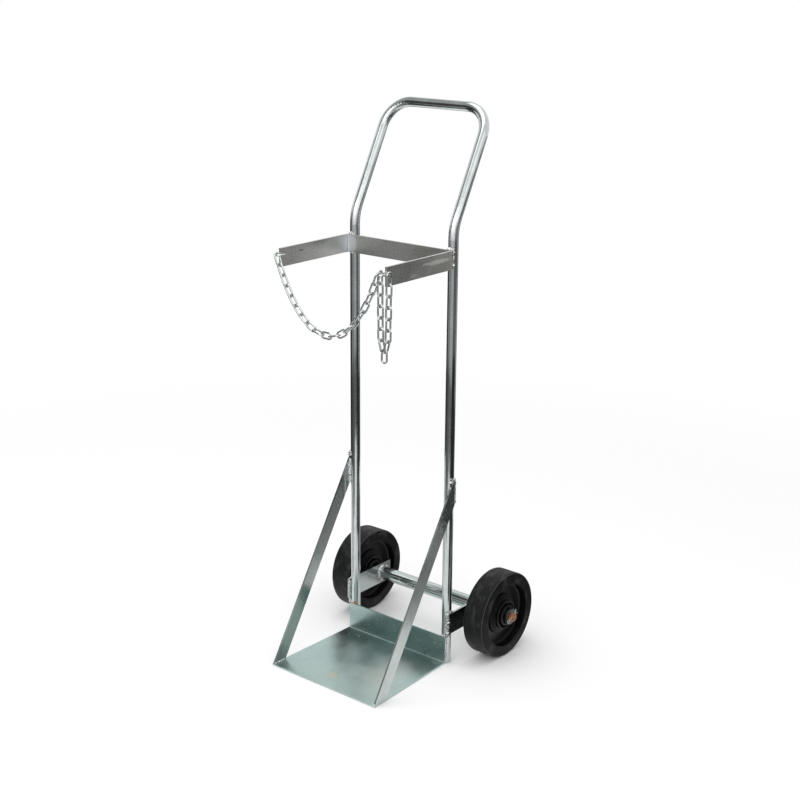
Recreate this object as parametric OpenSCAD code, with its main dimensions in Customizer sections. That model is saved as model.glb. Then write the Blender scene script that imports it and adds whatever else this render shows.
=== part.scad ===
// Gas cylinder trolley: bent tube frame on two wheels with a toe plate, a cradle strap and a chain.
// Millimetres, +Z up, toe plate to the front (-Y), origin in the middle of the toe plate's underside.

/* [Toe plate] */
// Width of the toe plate along its front edge
plate_w = 303; // [220:1:420]
// Width of the toe plate along its upstand
plate_back_w = 286; // [200:1:420]
// Depth from the front edge to the back of the upstand
plate_d = 260; // [180:1:380]
// Sheet thickness
plate_t = 3; // [2:0.5:6]
// Height of the upstand in front of the tubes
upstand_h = 66; // [40:1:120]
// Inside radius of the fold
fold_r = 3; // [2:0.5:10]

/* [Frame tube] */
// Outside diameter of the bent tube
tube_d = 22.2; // [18:0.1:32]
// Wall of the bent tube
tube_wall = 2; // [1.2:0.1:3]
// Height where the handle leans back
bend_z = 1003; // [800:1:1200]
// Lean of the handle from the vertical
handle_angle = 27.5; // [10:0.5:45]
// Slanted length from the lean to the top bar
handle_len = 266; // [180:1:360]
// Centre-line radius of the lean
lean_r = 100; // [60:1:160]
// Centre-line radius of the top corners
corner_r = 60; // [40:1:100]
// Height of the faint ring left where the lean ends
ring_h = 0.02; // [0.01:0.01:0.05]
// Length of the faint ring
ring_len = 0.6; // [0.4:0.1:1]

/* [Braces] */
// Width of the brace bar
brace_w = 32; // [20:1:50]
// Thickness of the brace bar
brace_t = 4; // [3:0.5:8]
// Height where the brace's front edge reaches the upright's axis
brace_z = 444; // [300:1:600]
// Length of the brace past the upright's axis
brace_lap = 2; // [0:0.5:8]

/* [Cradle strap] */
// Height of the strap's upper edge
strap_top = 958; // [700:1:1000]
// Width of the strap's flat bar
strap_h = 40; // [25:1:60]
// Thickness of the strap's flat bar
strap_t = 5; // [3:0.5:8]
// Length of the arms from the tubes' fronts
strap_d = 220; // [140:1:320]
// Inside radius of the strap's bends
strap_r = 4; // [2:0.5:20]

/* [Axle] */
// Wheel axis behind the uprights' axes
axle_back = 113.5; // [100:0.5:160]
// Diameter of the axle rod
axle_d = 20; // [16:0.5:25]
// Outside diameter of the axle tube
axle_tube_d = 32; // [28:0.5:40]
// Wall of the axle tube
axle_tube_wall = 3.2; // [2:0.1:4]
// Width of the bracket bar
bracket_w = 50; // [40:1:70]
// Thickness of the bracket bar
bracket_t = 5; // [4:0.5:8]
// Length of the bracket behind the wheel axis
bracket_tail = 28.5; // [20:0.5:40]
// Length of axle past the outer washer
axle_end = 8.4; // [7:0.1:15]
// Chamfer of the axle's ends
axle_cham = 1.5; // [0.5:0.1:2]

/* [Wheels] */
// Wheel diameter
wheel_d = 200; // [160:1:260]
// Tyre width
tyre_w = 55; // [40:1:70]
// Radius of the tyre's shoulders
shoulder_r = 5; // [2:0.5:9]
// Radial thickness of the tyre
tyre_t = 24; // [14:1:30]
// Radial thickness of the rim
rim_t = 10; // [6:1:14]
// Step of the rim's face behind the tyre's face
rim_step = 0.5; // [0.5:0.5:5]
// Radial width of the ledge inside the rim
ledge_t = 8; // [4:1:12]
// Depth of the ledge below the rim's face
ledge_step = 9; // [4:1:14]
// Thickness of the web
web_t = 12; // [8:1:20]
// Radius of the hub's foot
foot_r = 45; // [40:1:48]
// Height of the hub's foot above the web
foot_h = 5; // [3:0.5:8]
// Radius of the step above the hub's foot
step_r = 38; // [35:0.5:39]
// Height of that step above the foot
step_h = 6; // [3:0.5:8]
// Radius of the hub's shoulder
boss_r = 32; // [28:0.5:34]
// Height of the hub's shoulder above the foot
boss_h = 15; // [9:0.5:16]
// Radius of the collar between the hub's shoulder and its ends
collar_r = 25; // [24:0.5:27]
// Height of the collar above the hub's shoulder
collar_h = 3; // [2:0.5:5]
// Radius of the hub's ends
nose_r = 20; // [17:0.5:23]
// Hub overhang past the tyre's inner face
hub_in = 15.7; // [8:0.1:20]
// Hub overhang past the tyre's outer face
hub_out = 7.3; // [4:0.1:12]
// Wall of the bearing bush
bush_wall = 3; // [2:0.1:5]
// Radial running clearance of the bush
bush_clear = 0.05; // [0.02:0.01:0.1]
// Thickness of the inner washer
washer_in_t = 3; // [2:0.1:5]
// Thickness of the outer washer
washer_out_t = 2.5; // [1.5:0.1:4]
// Outside diameter of the washers
washer_d = 36; // [30:0.5:40]
// End play beside the hub
end_play = 0.3; // [0.2:0.05:0.5]

/* [Split pins] */
// Diameter of the split pin's shank
pin_d = 4; // [3:0.5:5]
// Wire diameter of the split pin
pin_wire = 2.6; // [2:0.1:3]
// Centre-line radius of the split pin's eye
pin_eye_r = 3.6; // [3:0.1:5]
// Tilt of the split pin from the horizontal
pin_tilt = 28; // [0:1:60]
// Length of the bent ends
pin_leg = 10; // [6:0.5:14]
// Spread of each bent end
pin_spread = 32; // [15:1:45]
// Clearance of the pin in its hole
pin_clear = 0.2; // [0.1:0.05:0.4]

/* [Chain] */
// Wire diameter of the chain
wire_d = 4; // [3:0.1:5]
// Inside length of a link
link_in = 23.6; // [20:0.1:30]
// Outside width of a link
link_w = 17; // [15:0.1:20]
// Gap between wires that bear on each other
link_gap = 0.3; // [0.2:0.05:0.5]
// Links from the middle of the hanging chain to either end
swag_half = 9; // [7:2:11]
// Links in each strand of the spare loop
tail_links = 7; // [5:2:9]
// Distance of the spare strands at the peg
tail_gap = 24; // [23.5:0.5:30]
// Distance of the spare strands above their last links
tail_low = 19; // [17.5:0.5:22]
// Height of the peg's axis below the strap's upper edge
peg_drop = 15; // [10:0.5:25]
// Diameter of the peg on the right arm
peg_d = 8; // [6:0.5:8.5]
// Length of the peg past the chain on either side
peg_over = 3; // [2:0.5:10]
// Wire diameter of the hoops that hold the hanging chain
anchor_d = 5; // [4:0.5:6]
// Clear width of the left hoop
anchor_w = 12; // [11:0.5:14]
// Clear width of the right hoop
hoop_w = 9; // [8:0.5:10]
// Reach of the left hoop in front of its arm
anchor_reach = 11; // [10.5:0.5:20]
// Reach of the right hoop in front of its arm
hoop_reach = 22.5; // [22:0.5:28]
// Length of the left hoop along the arm's faces
anchor_lap = 6; // [5:0.5:12]

/* [Hidden] */
$fn = 48;
slack = 1;
tube_r = tube_d / 2;
upright_x = plate_w / 2 - brace_t - tube_r;
outer_x = upright_x + tube_r;
upright_y = plate_d / 2 + tube_r;
lean_cut = lean_r * tan(handle_angle / 2);
fold_out = fold_r + plate_t;

strap_bottom = strap_top - strap_h;
strap_back = upright_y - tube_r;
arm_end = strap_back - strap_d;
arm_x = outer_x - strap_t / 2;
strap_out = strap_r + strap_t;

wheel_r = wheel_d / 2;
axle_y = upright_y + axle_back;
axle_z = wheel_r;
axle_r = axle_d / 2;
bracket_x = outer_x + bracket_t;
hub_x = bracket_x + washer_in_t + end_play;
tyre_x = hub_x + hub_in + tyre_w / 2;
hub_end = tyre_x + tyre_w / 2 + hub_out;
washer_x = hub_end + end_play;
pin_x = washer_x + washer_out_t + end_play + pin_d / 2;
axle_half = washer_x + washer_out_t + axle_end;
rim_r = wheel_r - tyre_t;
rim_in = rim_r - rim_t;
rim_face = tyre_w / 2 - rim_step;
ledge_face = rim_face - ledge_step;
foot_face = web_t / 2 + foot_h;
step_face = foot_face + step_h;
boss_face = foot_face + boss_h;
collar_face = boss_face + collar_h;
bush_r = axle_r + bush_clear + bush_wall;
wheel_bore = axle_r + bush_clear;

wire_r = wire_d / 2;
bow_r = (link_w - wire_d) / 2;
link_a = (link_in + wire_d) / 2 - bow_r;
flat_run = link_in - wire_d - 2 * link_gap;
edge_run = link_in + wire_d;
peg_r = peg_d / 2;
anchor_r = anchor_d / 2;
anchor_bow = anchor_w / 2 + anchor_r;
hoop_bow = hoop_w / 2 + anchor_r;
peg_y = arm_end - peg_r;
peg_z = strap_top - peg_drop;
hang_z = peg_z + peg_r + wire_r + link_gap;
anchor_y = arm_end - anchor_reach;
hoop_y = arm_end - hoop_reach;
anchor_z = hang_z - wire_r - link_gap - anchor_r;
tail_in_x = arm_x - tail_gap / 2;
tail_out_x = arm_x + tail_gap / 2;
peg_from = tail_in_x - wire_r - peg_over;
peg_to = tail_out_x + wire_r + peg_over;
swag_dy = hoop_y - anchor_y;
swag_span = sqrt(4 * arm_x * arm_x + swag_dy * swag_dy);
swag_turn = atan2(swag_dy, 2 * arm_x);

// Lengths and slopes of the hanging chain, counted from its lowest link outwards
function run(k) = k % 2 == 0 ? flat_run : edge_run;
function slope(k, t) = atan(k * t);
function swag_out(k, t) = k == 0 ? flat_run / 2 : swag_out(k - 1, t) + run(k) * cos(slope(k, t));
function swag_up(k, t) = k == 0 ? 0 : swag_up(k - 1, t) + run(k) * sin(slope(k, t));
function hang(lo, hi, n) = n == 0 ? (lo + hi) / 2
    : swag_out(swag_half, (lo + hi) / 2) > swag_span / 2 ? hang((lo + hi) / 2, hi, n - 1)
    : hang(lo, (lo + hi) / 2, n - 1);
hang_slope = hang(0.001, 5, 40);
swag_z = hang_z - swag_up(swag_half, hang_slope);

// Lengths and leans of a spare strand, counted from the peg downwards
tail_rows = tail_links - 1;
tail_run = tail_rows / 2 * (flat_run + edge_run);
tail_lean = asin((tail_gap - tail_low) / 2 / tail_run);
tail_foot = wire_r + link_gap / 2;
foot_lean = asin((tail_low / 2 - tail_foot) / edge_run);
function tail_len(k) = k == 0 ? 0 : tail_len(k - 1) + (k % 2 == 1 ? edge_run : flat_run);
tail_z = hang_z - tail_run * cos(tail_lean) - edge_run * cos(foot_lean);

zinc = [0.62, 0.65, 0.66];
steel = [0.5, 0.52, 0.53];
rubber = [0.12, 0.12, 0.12];
plastic = [0.16, 0.16, 0.17];
bronze = [0.55, 0.42, 0.25];
rust = [0.5, 0.36, 0.25];

// Right half of the bent tube's centre line as a solid of radius r, longer at the foot by drop
module half_path(r, drop) {
    translate([upright_x, upright_y, -drop])
        cylinder(r = r, h = bend_z - lean_cut + drop);
    translate([upright_x, upright_y + lean_r, bend_z - lean_cut])
        rotate([90, 0, -90])
            rotate_extrude(angle = handle_angle)
                translate([lean_r, 0])
                    circle(r = r);
    lean_frame() {
        translate([upright_x, 0, lean_cut - ring_len / 2])
            cylinder(r = r + ring_h, h = ring_len);
        translate([upright_x, 0, handle_len - corner_r])
            mirror([0, 0, 1])
                cylinder(r = r, h = handle_len - corner_r - lean_cut);
        translate([upright_x - corner_r, 0, handle_len - corner_r])
            rotate([90, 0, 0])
                rotate_extrude(angle = 90)
                    translate([corner_r, 0])
                        circle(r = r);
    }
}

// The handle's own frame: origin where the centre lines meet, Z along the lean
module lean_frame() {
    translate([0, upright_y, bend_z])
        rotate([-handle_angle, 0, 0])
            children();
}

module bent_path(r, drop) {
    half_path(r, drop);
    mirror([1, 0, 0])
        half_path(r, drop);
    lean_frame()
        translate([corner_r - upright_x, 0, handle_len])
            rotate([0, 90, 0])
                cylinder(r = r, h = 2 * (upright_x - corner_r));
}

module frame_tube() {
    color(zinc)
        difference() {
            bent_path(tube_r, 0);
            bent_path(tube_r - tube_wall, slack);
        }
}

// Side view of the folded sheet: first axis along Y, second along Z
module plate_section() {
    back = plate_d / 2;
    translate([-back, 0])
        square([plate_d - fold_out, plate_t]);
    translate([back - plate_t, fold_out])
        square([plate_t, upstand_h - fold_out]);
    translate([back - fold_out, fold_out])
        intersection() {
            difference() {
                circle(r = fold_out);
                circle(r = fold_r);
            }
            translate([0, -fold_out])
                square([fold_out, fold_out]);
        }
}

// Turns a section drawn in Y and Z into a bar along X, from x0 for a length of len
module along_x(x0, len) {
    translate([x0, 0, 0])
        rotate([90, 0, 90])
            linear_extrude(height = len)
                children();
}

// Plan of the folded sheet, narrower towards the upstand
module plate_plan() {
    back = plate_d / 2;
    polygon([[-plate_w / 2, -back], [plate_w / 2, -back], [plate_back_w / 2, back], [-plate_back_w / 2, back]]);
}

module toe_plate() {
    color(zinc)
        intersection() {
            along_x(-plate_w / 2 - slack, plate_w + 2 * slack)
                plate_section();
            translate([0, 0, -slack])
                linear_extrude(height = upstand_h + 2 * slack)
                    plate_plan();
        }
}

module brace() {
    foot_y = -plate_d / 2;
    rise = (brace_z - plate_t) / (upright_y - foot_y);
    foot_len = brace_w * sqrt(1 + rise * rise) / rise;
    end_y = upright_y + brace_lap;
    tip_z = plate_t + rise * (end_y - foot_y);
    heel_z = plate_t + rise * (end_y - foot_y - foot_len);
    color(zinc)
        along_x(outer_x, brace_t)
            polygon([[foot_y, plate_t], [foot_y + foot_len, plate_t], [end_y, heel_z], [end_y, tip_z]]);
}

module brace_left() {
    mirror([1, 0, 0])
        brace();
}

module brace_right() {
    brace();
}

// Plan of the strap's outline, with its two back corners rounded
module strap_outline(half_w, back, r) {
    translate([-half_w, arm_end - slack])
        square([2 * half_w, back - r - arm_end + slack]);
    translate([r - half_w, arm_end])
        square([2 * (half_w - r), back - arm_end]);
    for (side = [-1, 1])
        translate([side * (half_w - r), back - r])
            circle(r = r);
}

module cradle_strap() {
    color(steel)
        translate([0, 0, strap_bottom])
            linear_extrude(height = strap_h)
                intersection() {
                    difference() {
                        strap_outline(outer_x, strap_back, strap_out);
                        strap_outline(outer_x - strap_t, strap_back - strap_t, strap_r);
                    }
                    translate([-outer_x, arm_end])
                        square([2 * outer_x, strap_d]);
                }
}

module axle_bracket() {
    front = upright_y - tube_r;
    color(zinc)
        difference() {
            translate([outer_x, front, axle_z - bracket_w / 2])
                cube([bracket_t, axle_y + bracket_tail - front, bracket_w]);
            translate([outer_x - slack, axle_y, axle_z])
                rotate([0, 90, 0])
                    cylinder(r = axle_r + pin_clear / 2, h = bracket_t + 2 * slack);
        }
}

module axle_bracket_left() {
    mirror([1, 0, 0])
        axle_bracket();
}

module axle_bracket_right() {
    axle_bracket();
}

// A round bar along X about the wheel axis
module axle_bar(r, half) {
    translate([-half, axle_y, axle_z])
        rotate([0, 90, 0])
            cylinder(r = r, h = 2 * half);
}

module axle_tube() {
    color(zinc)
        difference() {
            axle_bar(axle_tube_d / 2, outer_x);
            axle_bar(axle_tube_d / 2 - axle_tube_wall, outer_x + slack);
        }
}

module axle_rod() {
    color(rust)
        difference() {
            union() {
                axle_bar(axle_r, axle_half - axle_cham);
                for (side = [-1, 1])
                    translate([side * (axle_half - axle_cham), axle_y, axle_z])
                        rotate([0, side * 90, 0])
                            cylinder(r1 = axle_r, r2 = axle_r - axle_cham, h = axle_cham);
            }
            for (side = [-1, 1])
                pin_frame(side * pin_x)
                    translate([0, 0, -axle_d])
                        cylinder(r = pin_d / 2 + pin_clear, h = 2 * axle_d);
        }
}

// Frame of a split pin: Z along the shank, from the low front to the high back
module pin_frame(x) {
    translate([x, axle_y, axle_z])
        rotate([pin_tilt - 90, 0, 0])
            children();
}

// Solid of revolution about the wheel axis on the right side, its section drawn as radius and distance
// outwards from the tyre's middle plane
module wheel_turn() {
    translate([tyre_x, axle_y, axle_z])
        rotate([0, 90, 0])
            rotate_extrude()
                children();
}

module band(r0, r1, s0, s1) {
    translate([r0, s0])
        square([r1 - r0, s1 - s0]);
}

module tyre() {
    flank = tyre_w / 2;
    color(rubber)
        wheel_turn() {
            band(rim_r, wheel_r - shoulder_r, -flank, flank);
            band(rim_r, wheel_r, shoulder_r - flank, flank - shoulder_r);
            for (side = [-1, 1])
                translate([wheel_r - shoulder_r, side * (flank - shoulder_r)])
                    circle(r = shoulder_r);
        }
}

module wheel_centre() {
    color(plastic)
        wheel_turn() {
            band(rim_in, rim_r, -rim_face, rim_face);
            band(rim_in - ledge_t, rim_in, -ledge_face, ledge_face);
            band(bush_r, rim_in, -web_t / 2, web_t / 2);
            band(bush_r, foot_r, -foot_face, foot_face);
            band(bush_r, step_r, -step_face, step_face);
            band(bush_r, boss_r, -boss_face, boss_face);
            band(bush_r, collar_r, -collar_face, collar_face);
            band(bush_r, nose_r, hub_x - tyre_x, hub_end - tyre_x);
        }
}

module bush() {
    color(bronze)
        wheel_turn()
            band(wheel_bore, bush_r, hub_x - tyre_x, hub_end - tyre_x);
}

module washer(x0, t) {
    color(zinc)
        wheel_turn()
            band(axle_r + pin_clear / 2, washer_d / 2, x0 - tyre_x, x0 + t - tyre_x);
}

module split_pin() {
    eye_z = -axle_r - pin_eye_r - pin_d / 2;
    shank = axle_d + pin_d;
    wire = pin_wire / 2;
    color(zinc)
        pin_frame(pin_x) {
            translate([0, 0, -shank / 2])
                cylinder(r = pin_d / 2, h = shank);
            translate([0, 0, eye_z])
                rotate([0, 90, 0])
                    rotate_extrude()
                        translate([pin_eye_r, 0])
                            circle(r = wire);
            for (side = [-1, 1])
                translate([0, 0, shank / 2 - wire])
                    rotate([side * pin_spread, 0, 0])
                        cylinder(r = wire, h = pin_leg);
        }
}

module tyre_left() {
    mirror([1, 0, 0])
        tyre();
}

module tyre_right() {
    tyre();
}

module wheel_centre_left() {
    mirror([1, 0, 0])
        wheel_centre();
}

module wheel_centre_right() {
    wheel_centre();
}

module bush_left() {
    mirror([1, 0, 0])
        bush();
}

module bush_right() {
    bush();
}

module inner_washer_left() {
    mirror([1, 0, 0])
        washer(bracket_x, washer_in_t);
}

module inner_washer_right() {
    washer(bracket_x, washer_in_t);
}

module outer_washer_left() {
    mirror([1, 0, 0])
        washer(washer_x, washer_out_t);
}

module outer_washer_right() {
    washer(washer_x, washer_out_t);
}

module split_pin_left() {
    mirror([1, 0, 0])
        split_pin();
}

module split_pin_right() {
    split_pin();
}

// Half a ring of wire about Y, open downwards
module bow(r, wire) {
    rotate([90, 0, 0])
        rotate_extrude(angle = 180)
            translate([r, 0])
                circle(r = wire);
}

// One link, long along Z and wide along X
module link() {
    translate([0, 0, link_a])
        bow(bow_r, wire_r);
    translate([0, 0, -link_a])
        mirror([0, 0, 1])
            bow(bow_r, wire_r);
    for (side = [-1, 1])
        translate([side * bow_r, 0, -link_a])
            cylinder(r = wire_r, h = 2 * link_a);
}

// Hoop of wire in front of an arm's end, its legs running back by reach; origin in the middle of its bow
module hoop(r, reach) {
    rotate([90, 0, 0]) {
        bow(r, anchor_r);
        for (side = [-1, 1])
            translate([side * r, 0, -reach])
                cylinder(r = anchor_r, h = reach);
    }
}

// Hoop across the left arm's end, its legs beside both faces with a run of weld behind each
module chain_anchor() {
    reach = anchor_reach - anchor_bow + anchor_lap;
    color(zinc)
        translate([-arm_x, anchor_y + anchor_bow, anchor_z]) {
            hoop(anchor_bow, reach);
            for (side = [-1, 1])
                translate([side * (strap_t / 2 + anchor_bow) / 2, reach - anchor_lap / 2, 0])
                    cube([anchor_bow - strap_t / 2, anchor_lap, anchor_r], center = true);
        }
}

// Peg across the right arm's end for the spare loop, with a hoop in front for the hanging chain
module chain_peg() {
    color(zinc) {
        translate([peg_from, peg_y, peg_z])
            rotate([0, 90, 0])
                cylinder(r = peg_r, h = peg_to - peg_from);
        translate([arm_x, hoop_y + hoop_bow, anchor_z])
            hoop(hoop_bow, peg_y - hoop_y - hoop_bow);
    }
}

// A link of the hanging chain, k places from the lowest one; odd ones stand edge on
module swag_link(k) {
    n = abs(k);
    side = k < 0 ? -1 : 1;
    lean = slope(k, hang_slope);
    half = run(n) / 2;
    at_x = n == 0 ? 0 : swag_out(n, hang_slope) - half * cos(lean);
    at_z = n == 0 ? 0 : swag_up(n, hang_slope) - half * abs(sin(lean));
    translate([side * at_x, 0, at_z])
        rotate([0, 90 - lean, 0])
            rotate([0, 0, n % 2 * 90])
                link();
}

module chain_swag() {
    color(zinc)
        translate([0, (anchor_y + hoop_y) / 2, swag_z])
            rotate([0, 0, swag_turn])
                for (k = [-swag_half : swag_half])
                    swag_link(k);
}

// One strand of the spare loop, hung at x from the middle and leaning to the other strand
module tail_strand() {
    for (k = [1 : tail_rows]) {
        mid = (tail_len(k - 1) + tail_len(k)) / 2;
        translate([tail_gap / 2 - mid * sin(tail_lean), 0, hang_z - mid * cos(tail_lean)])
            rotate([0, tail_lean, 0])
                rotate([0, 0, k % 2 * 90])
                    link();
    }
    translate([(tail_low / 2 + tail_foot) / 2, 0, tail_z + edge_run / 2 * cos(foot_lean)])
        rotate([0, foot_lean, 0])
            rotate([0, 0, 90])
                link();
}

module chain_tail() {
    color(zinc)
        translate([arm_x, peg_y, 0]) {
            tail_strand();
            mirror([1, 0, 0])
                tail_strand();
            translate([0, 0, tail_z - link_gap - link_a])
                link();
        }
}

frame_tube();
toe_plate();
brace_left();
brace_right();
cradle_strap();
axle_bracket_left();
axle_bracket_right();
axle_tube();
axle_rod();
tyre_left();
tyre_right();
wheel_centre_left();
wheel_centre_right();
bush_left();
bush_right();
inner_washer_left();
inner_washer_right();
outer_washer_left();
outer_washer_right();
split_pin_left();
split_pin_right();
chain_anchor();
chain_peg();
chain_swag();
chain_tail();
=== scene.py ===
"""Gas cylinder trolley: zinc and rubber finishes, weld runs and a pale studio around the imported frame.

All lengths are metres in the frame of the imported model: +Z up, the toe plate to the front (-Y).
"""

from __future__ import annotations

import logging
import math
from dataclasses import dataclass, field
from enum import Enum
from typing import Any, Sequence

import bpy
import numpy as np
from mathutils import Matrix, Vector

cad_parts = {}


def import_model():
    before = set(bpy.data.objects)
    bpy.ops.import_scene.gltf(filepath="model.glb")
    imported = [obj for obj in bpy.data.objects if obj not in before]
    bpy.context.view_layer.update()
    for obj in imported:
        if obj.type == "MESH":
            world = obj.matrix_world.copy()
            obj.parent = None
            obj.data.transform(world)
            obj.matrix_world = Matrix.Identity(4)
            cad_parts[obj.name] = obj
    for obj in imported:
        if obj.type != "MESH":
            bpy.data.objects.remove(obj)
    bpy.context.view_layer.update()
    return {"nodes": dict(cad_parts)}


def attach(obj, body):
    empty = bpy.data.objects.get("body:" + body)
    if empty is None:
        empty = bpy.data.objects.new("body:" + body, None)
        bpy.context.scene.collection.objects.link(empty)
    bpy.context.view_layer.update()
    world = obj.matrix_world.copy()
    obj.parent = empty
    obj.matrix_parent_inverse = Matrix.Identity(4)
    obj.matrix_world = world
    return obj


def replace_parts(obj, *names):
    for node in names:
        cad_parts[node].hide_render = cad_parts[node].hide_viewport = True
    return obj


LOG = logging.getLogger("trolley")
TROLLEY = "trolley"
SEED = 20
FULL_TURN = 2 * np.pi
WHITE = (1.0, 1.0, 1.0)

Point = tuple[float, float, float]
Colour = tuple[float, float, float]
Span = tuple[float, float]
Socket = bpy.types.NodeSocket
Node = bpy.types.Node
Tree = bpy.types.NodeTree
Material = bpy.types.Material


class Finish(Enum):
    """The finishes of the trolley's pieces, by the names of their materials."""

    TUBE_ZINC = "tube_zinc"
    AXLE_ZINC = "axle_zinc"
    SHEET_ZINC = "sheet_zinc"
    BAR_ZINC = "bar_zinc"
    BRACKET_ZINC = "bracket_zinc"
    STRAP_STEEL = "strap_steel"
    CHAIN_ZINC = "chain_zinc"
    PIN_ZINC = "pin_zinc"
    WASHER_ZINC = "washer_zinc"
    WELD = "weld_metal"
    RUSTY_AXLE = "rusty_axle"
    TYRE_RUBBER = "tyre_rubber"
    WHEEL_PLASTIC = "wheel_plastic"
    BUSH_BRONZE = "bush_bronze"


class Side(Enum):
    """The two sides of the trolley, as signs along X."""

    LEFT = -1
    RIGHT = 1

    @property
    def label(self) -> str:
        """The side's word in the names of pieces."""
        return self.name.lower()


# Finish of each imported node, and of each pair of nodes by the name that both sides share.
SINGLE_NODES: dict[str, Finish] = {
    "frame_tube": Finish.TUBE_ZINC,
    "axle_tube": Finish.AXLE_ZINC,
    "toe_plate": Finish.SHEET_ZINC,
    "cradle_strap": Finish.STRAP_STEEL,
    "chain_anchor": Finish.CHAIN_ZINC,
    "chain_peg": Finish.CHAIN_ZINC,
    "chain_swag": Finish.CHAIN_ZINC,
    "chain_tail": Finish.CHAIN_ZINC,
    "axle_rod": Finish.RUSTY_AXLE,
}
PAIRED_NODES: dict[str, Finish] = {
    "brace": Finish.BAR_ZINC,
    "axle_bracket": Finish.BRACKET_ZINC,
    "tyre": Finish.TYRE_RUBBER,
    "wheel_centre": Finish.WHEEL_PLASTIC,
    "bush": Finish.BUSH_BRONZE,
    "inner_washer": Finish.WASHER_ZINC,
    "outer_washer": Finish.WASHER_ZINC,
    "split_pin": Finish.PIN_ZINC,
}


def rgba(colour: Colour) -> tuple[float, float, float, float]:
    """The colour with full alpha."""
    return (*colour, 1.0)


class Graph:
    """Adds nodes to one node tree and joins them."""

    def __init__(self, tree: Tree) -> None:
        """Keeps the tree that the nodes go into."""
        self.tree = tree

    def join(self, node: Node, inputs: dict[Any, Any]) -> None:
        """Joins sockets to a node's inputs, and sets the inputs that get a plain value.

        Args:
            node: the node.
            inputs: sockets or values, by the input's name or number.
        """
        for key, value in inputs.items():
            if isinstance(value, Socket):
                self.tree.links.new(value, node.inputs[key])
            else:
                node.inputs[key].default_value = value

    def add(self, kind: str, inputs: dict[Any, Any] | None = None, **settings: Any) -> Node:
        """Adds one node.

        Args:
            kind: the node's type name.
            inputs: sockets or values for its inputs, by name or number.
            settings: properties of the node itself.

        Returns:
            The new node.
        """
        node = self.tree.nodes.new(kind)
        for key, value in settings.items():
            setattr(node, key, value)
        self.join(node, inputs or {})
        return node

    def math(self, operation: str, a: Any, b: Any = 0.0) -> Socket:
        """One arithmetic step on two values or sockets."""
        return self.add("ShaderNodeMath", {0: a, 1: b}, operation=operation).outputs[0]

    def total(self, first: Any, *rest: Any) -> Socket:
        """The sum of several values or sockets."""
        for value in rest:
            first = self.math("ADD", first, value)
        return first

    def times(self, first: Any, *rest: Any) -> Socket:
        """The product of several values or sockets."""
        for value in rest:
            first = self.math("MULTIPLY", first, value)
        return first

    def reach(self, a: Socket, b: Socket) -> Socket:
        """The square root of the sum of two squares."""
        return self.math("SQRT", self.total(self.times(a, a), self.times(b, b)))

    def vector(self, operation: str, a: Any, b: Any) -> Socket:
        """One vector step that gives a vector."""
        return self.add("ShaderNodeVectorMath", {0: a, 1: b}, operation=operation).outputs["Vector"]

    def dot(self, a: Any, b: Any) -> Socket:
        """The dot product of two vectors."""
        return self.add("ShaderNodeVectorMath", {0: a, 1: b}, operation="DOT_PRODUCT").outputs["Value"]

    def length(self, a: Any) -> Socket:
        """The length of a vector."""
        return self.add("ShaderNodeVectorMath", {0: a}, operation="LENGTH").outputs["Value"]

    def split(self, vector: Any) -> tuple[Socket, Socket, Socket]:
        """The three parts of a vector."""
        return tuple(self.add("ShaderNodeSeparateXYZ", {0: vector}).outputs)

    def combine(self, x: Any, y: Any, z: Any) -> Socket:
        """A vector of three parts."""
        return self.add("ShaderNodeCombineXYZ", {0: x, 1: y, 2: z}).outputs[0]

    def ease(self, value: Any, low: Any, high: Any) -> Socket:
        """Smooth step of a value: 0 at low, 1 at high."""
        inputs = {"Value": value, "From Min": low, "From Max": high}
        return self.add("ShaderNodeMapRange", inputs, interpolation_type="SMOOTHSTEP").outputs["Result"]

    def scale_to(self, value: Any, to_low: Any, to_high: Any) -> Socket:
        """Straight map of a value from 0..1 to to_low..to_high."""
        return self.add("ShaderNodeMapRange", {"Value": value, "To Min": to_low, "To Max": to_high}).outputs["Result"]

    def about(self, value: Any, swing: float, middle: float = 0.0) -> Socket:
        """Straight map of a value from 0..1 to a swing on either side of a middle."""
        return self.scale_to(value, middle - swing, middle + swing)

    def noise(self, vector: Any, scale: Any, detail: float = 3.0, rough: float = 0.55) -> Socket:
        """Value of a noise texture, about 0.5 on average."""
        inputs = {"Vector": vector, "Scale": scale, "Detail": detail, "Roughness": rough}
        return self.add("ShaderNodeTexNoise", inputs).outputs["Fac"]

    def mix(self, factor: Any, a: Any, b: Any, blend: str = "MIX") -> Socket:
        """Mix of two colours, each a socket or three numbers."""
        a, b = (rgba(colour) if isinstance(colour, tuple) else colour for colour in (a, b))
        return self.add("ShaderNodeMix", {0: factor, 6: a, 7: b}, data_type="RGBA", blend_type=blend).outputs[2]

    def bump(self, strength: float, distance: float, height: Socket) -> Socket:
        """The normal of a surface with some height on it."""
        inputs = {"Strength": strength, "Distance": distance, "Height": height}
        return self.add("ShaderNodeBump", inputs).outputs["Normal"]

    def group(self, effect: Tree, at: Any, **inputs: Any) -> Any:
        """The outputs of an effect group at some coordinates."""
        return self.add("ShaderNodeGroup", {"Vector": at, **inputs}, node_tree=effect).outputs

    def mask(self, effect: Tree, at: Any, **inputs: Any) -> Socket:
        """The first output of an effect group at some coordinates."""
        return self.group(effect, at, **inputs)[0]


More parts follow.
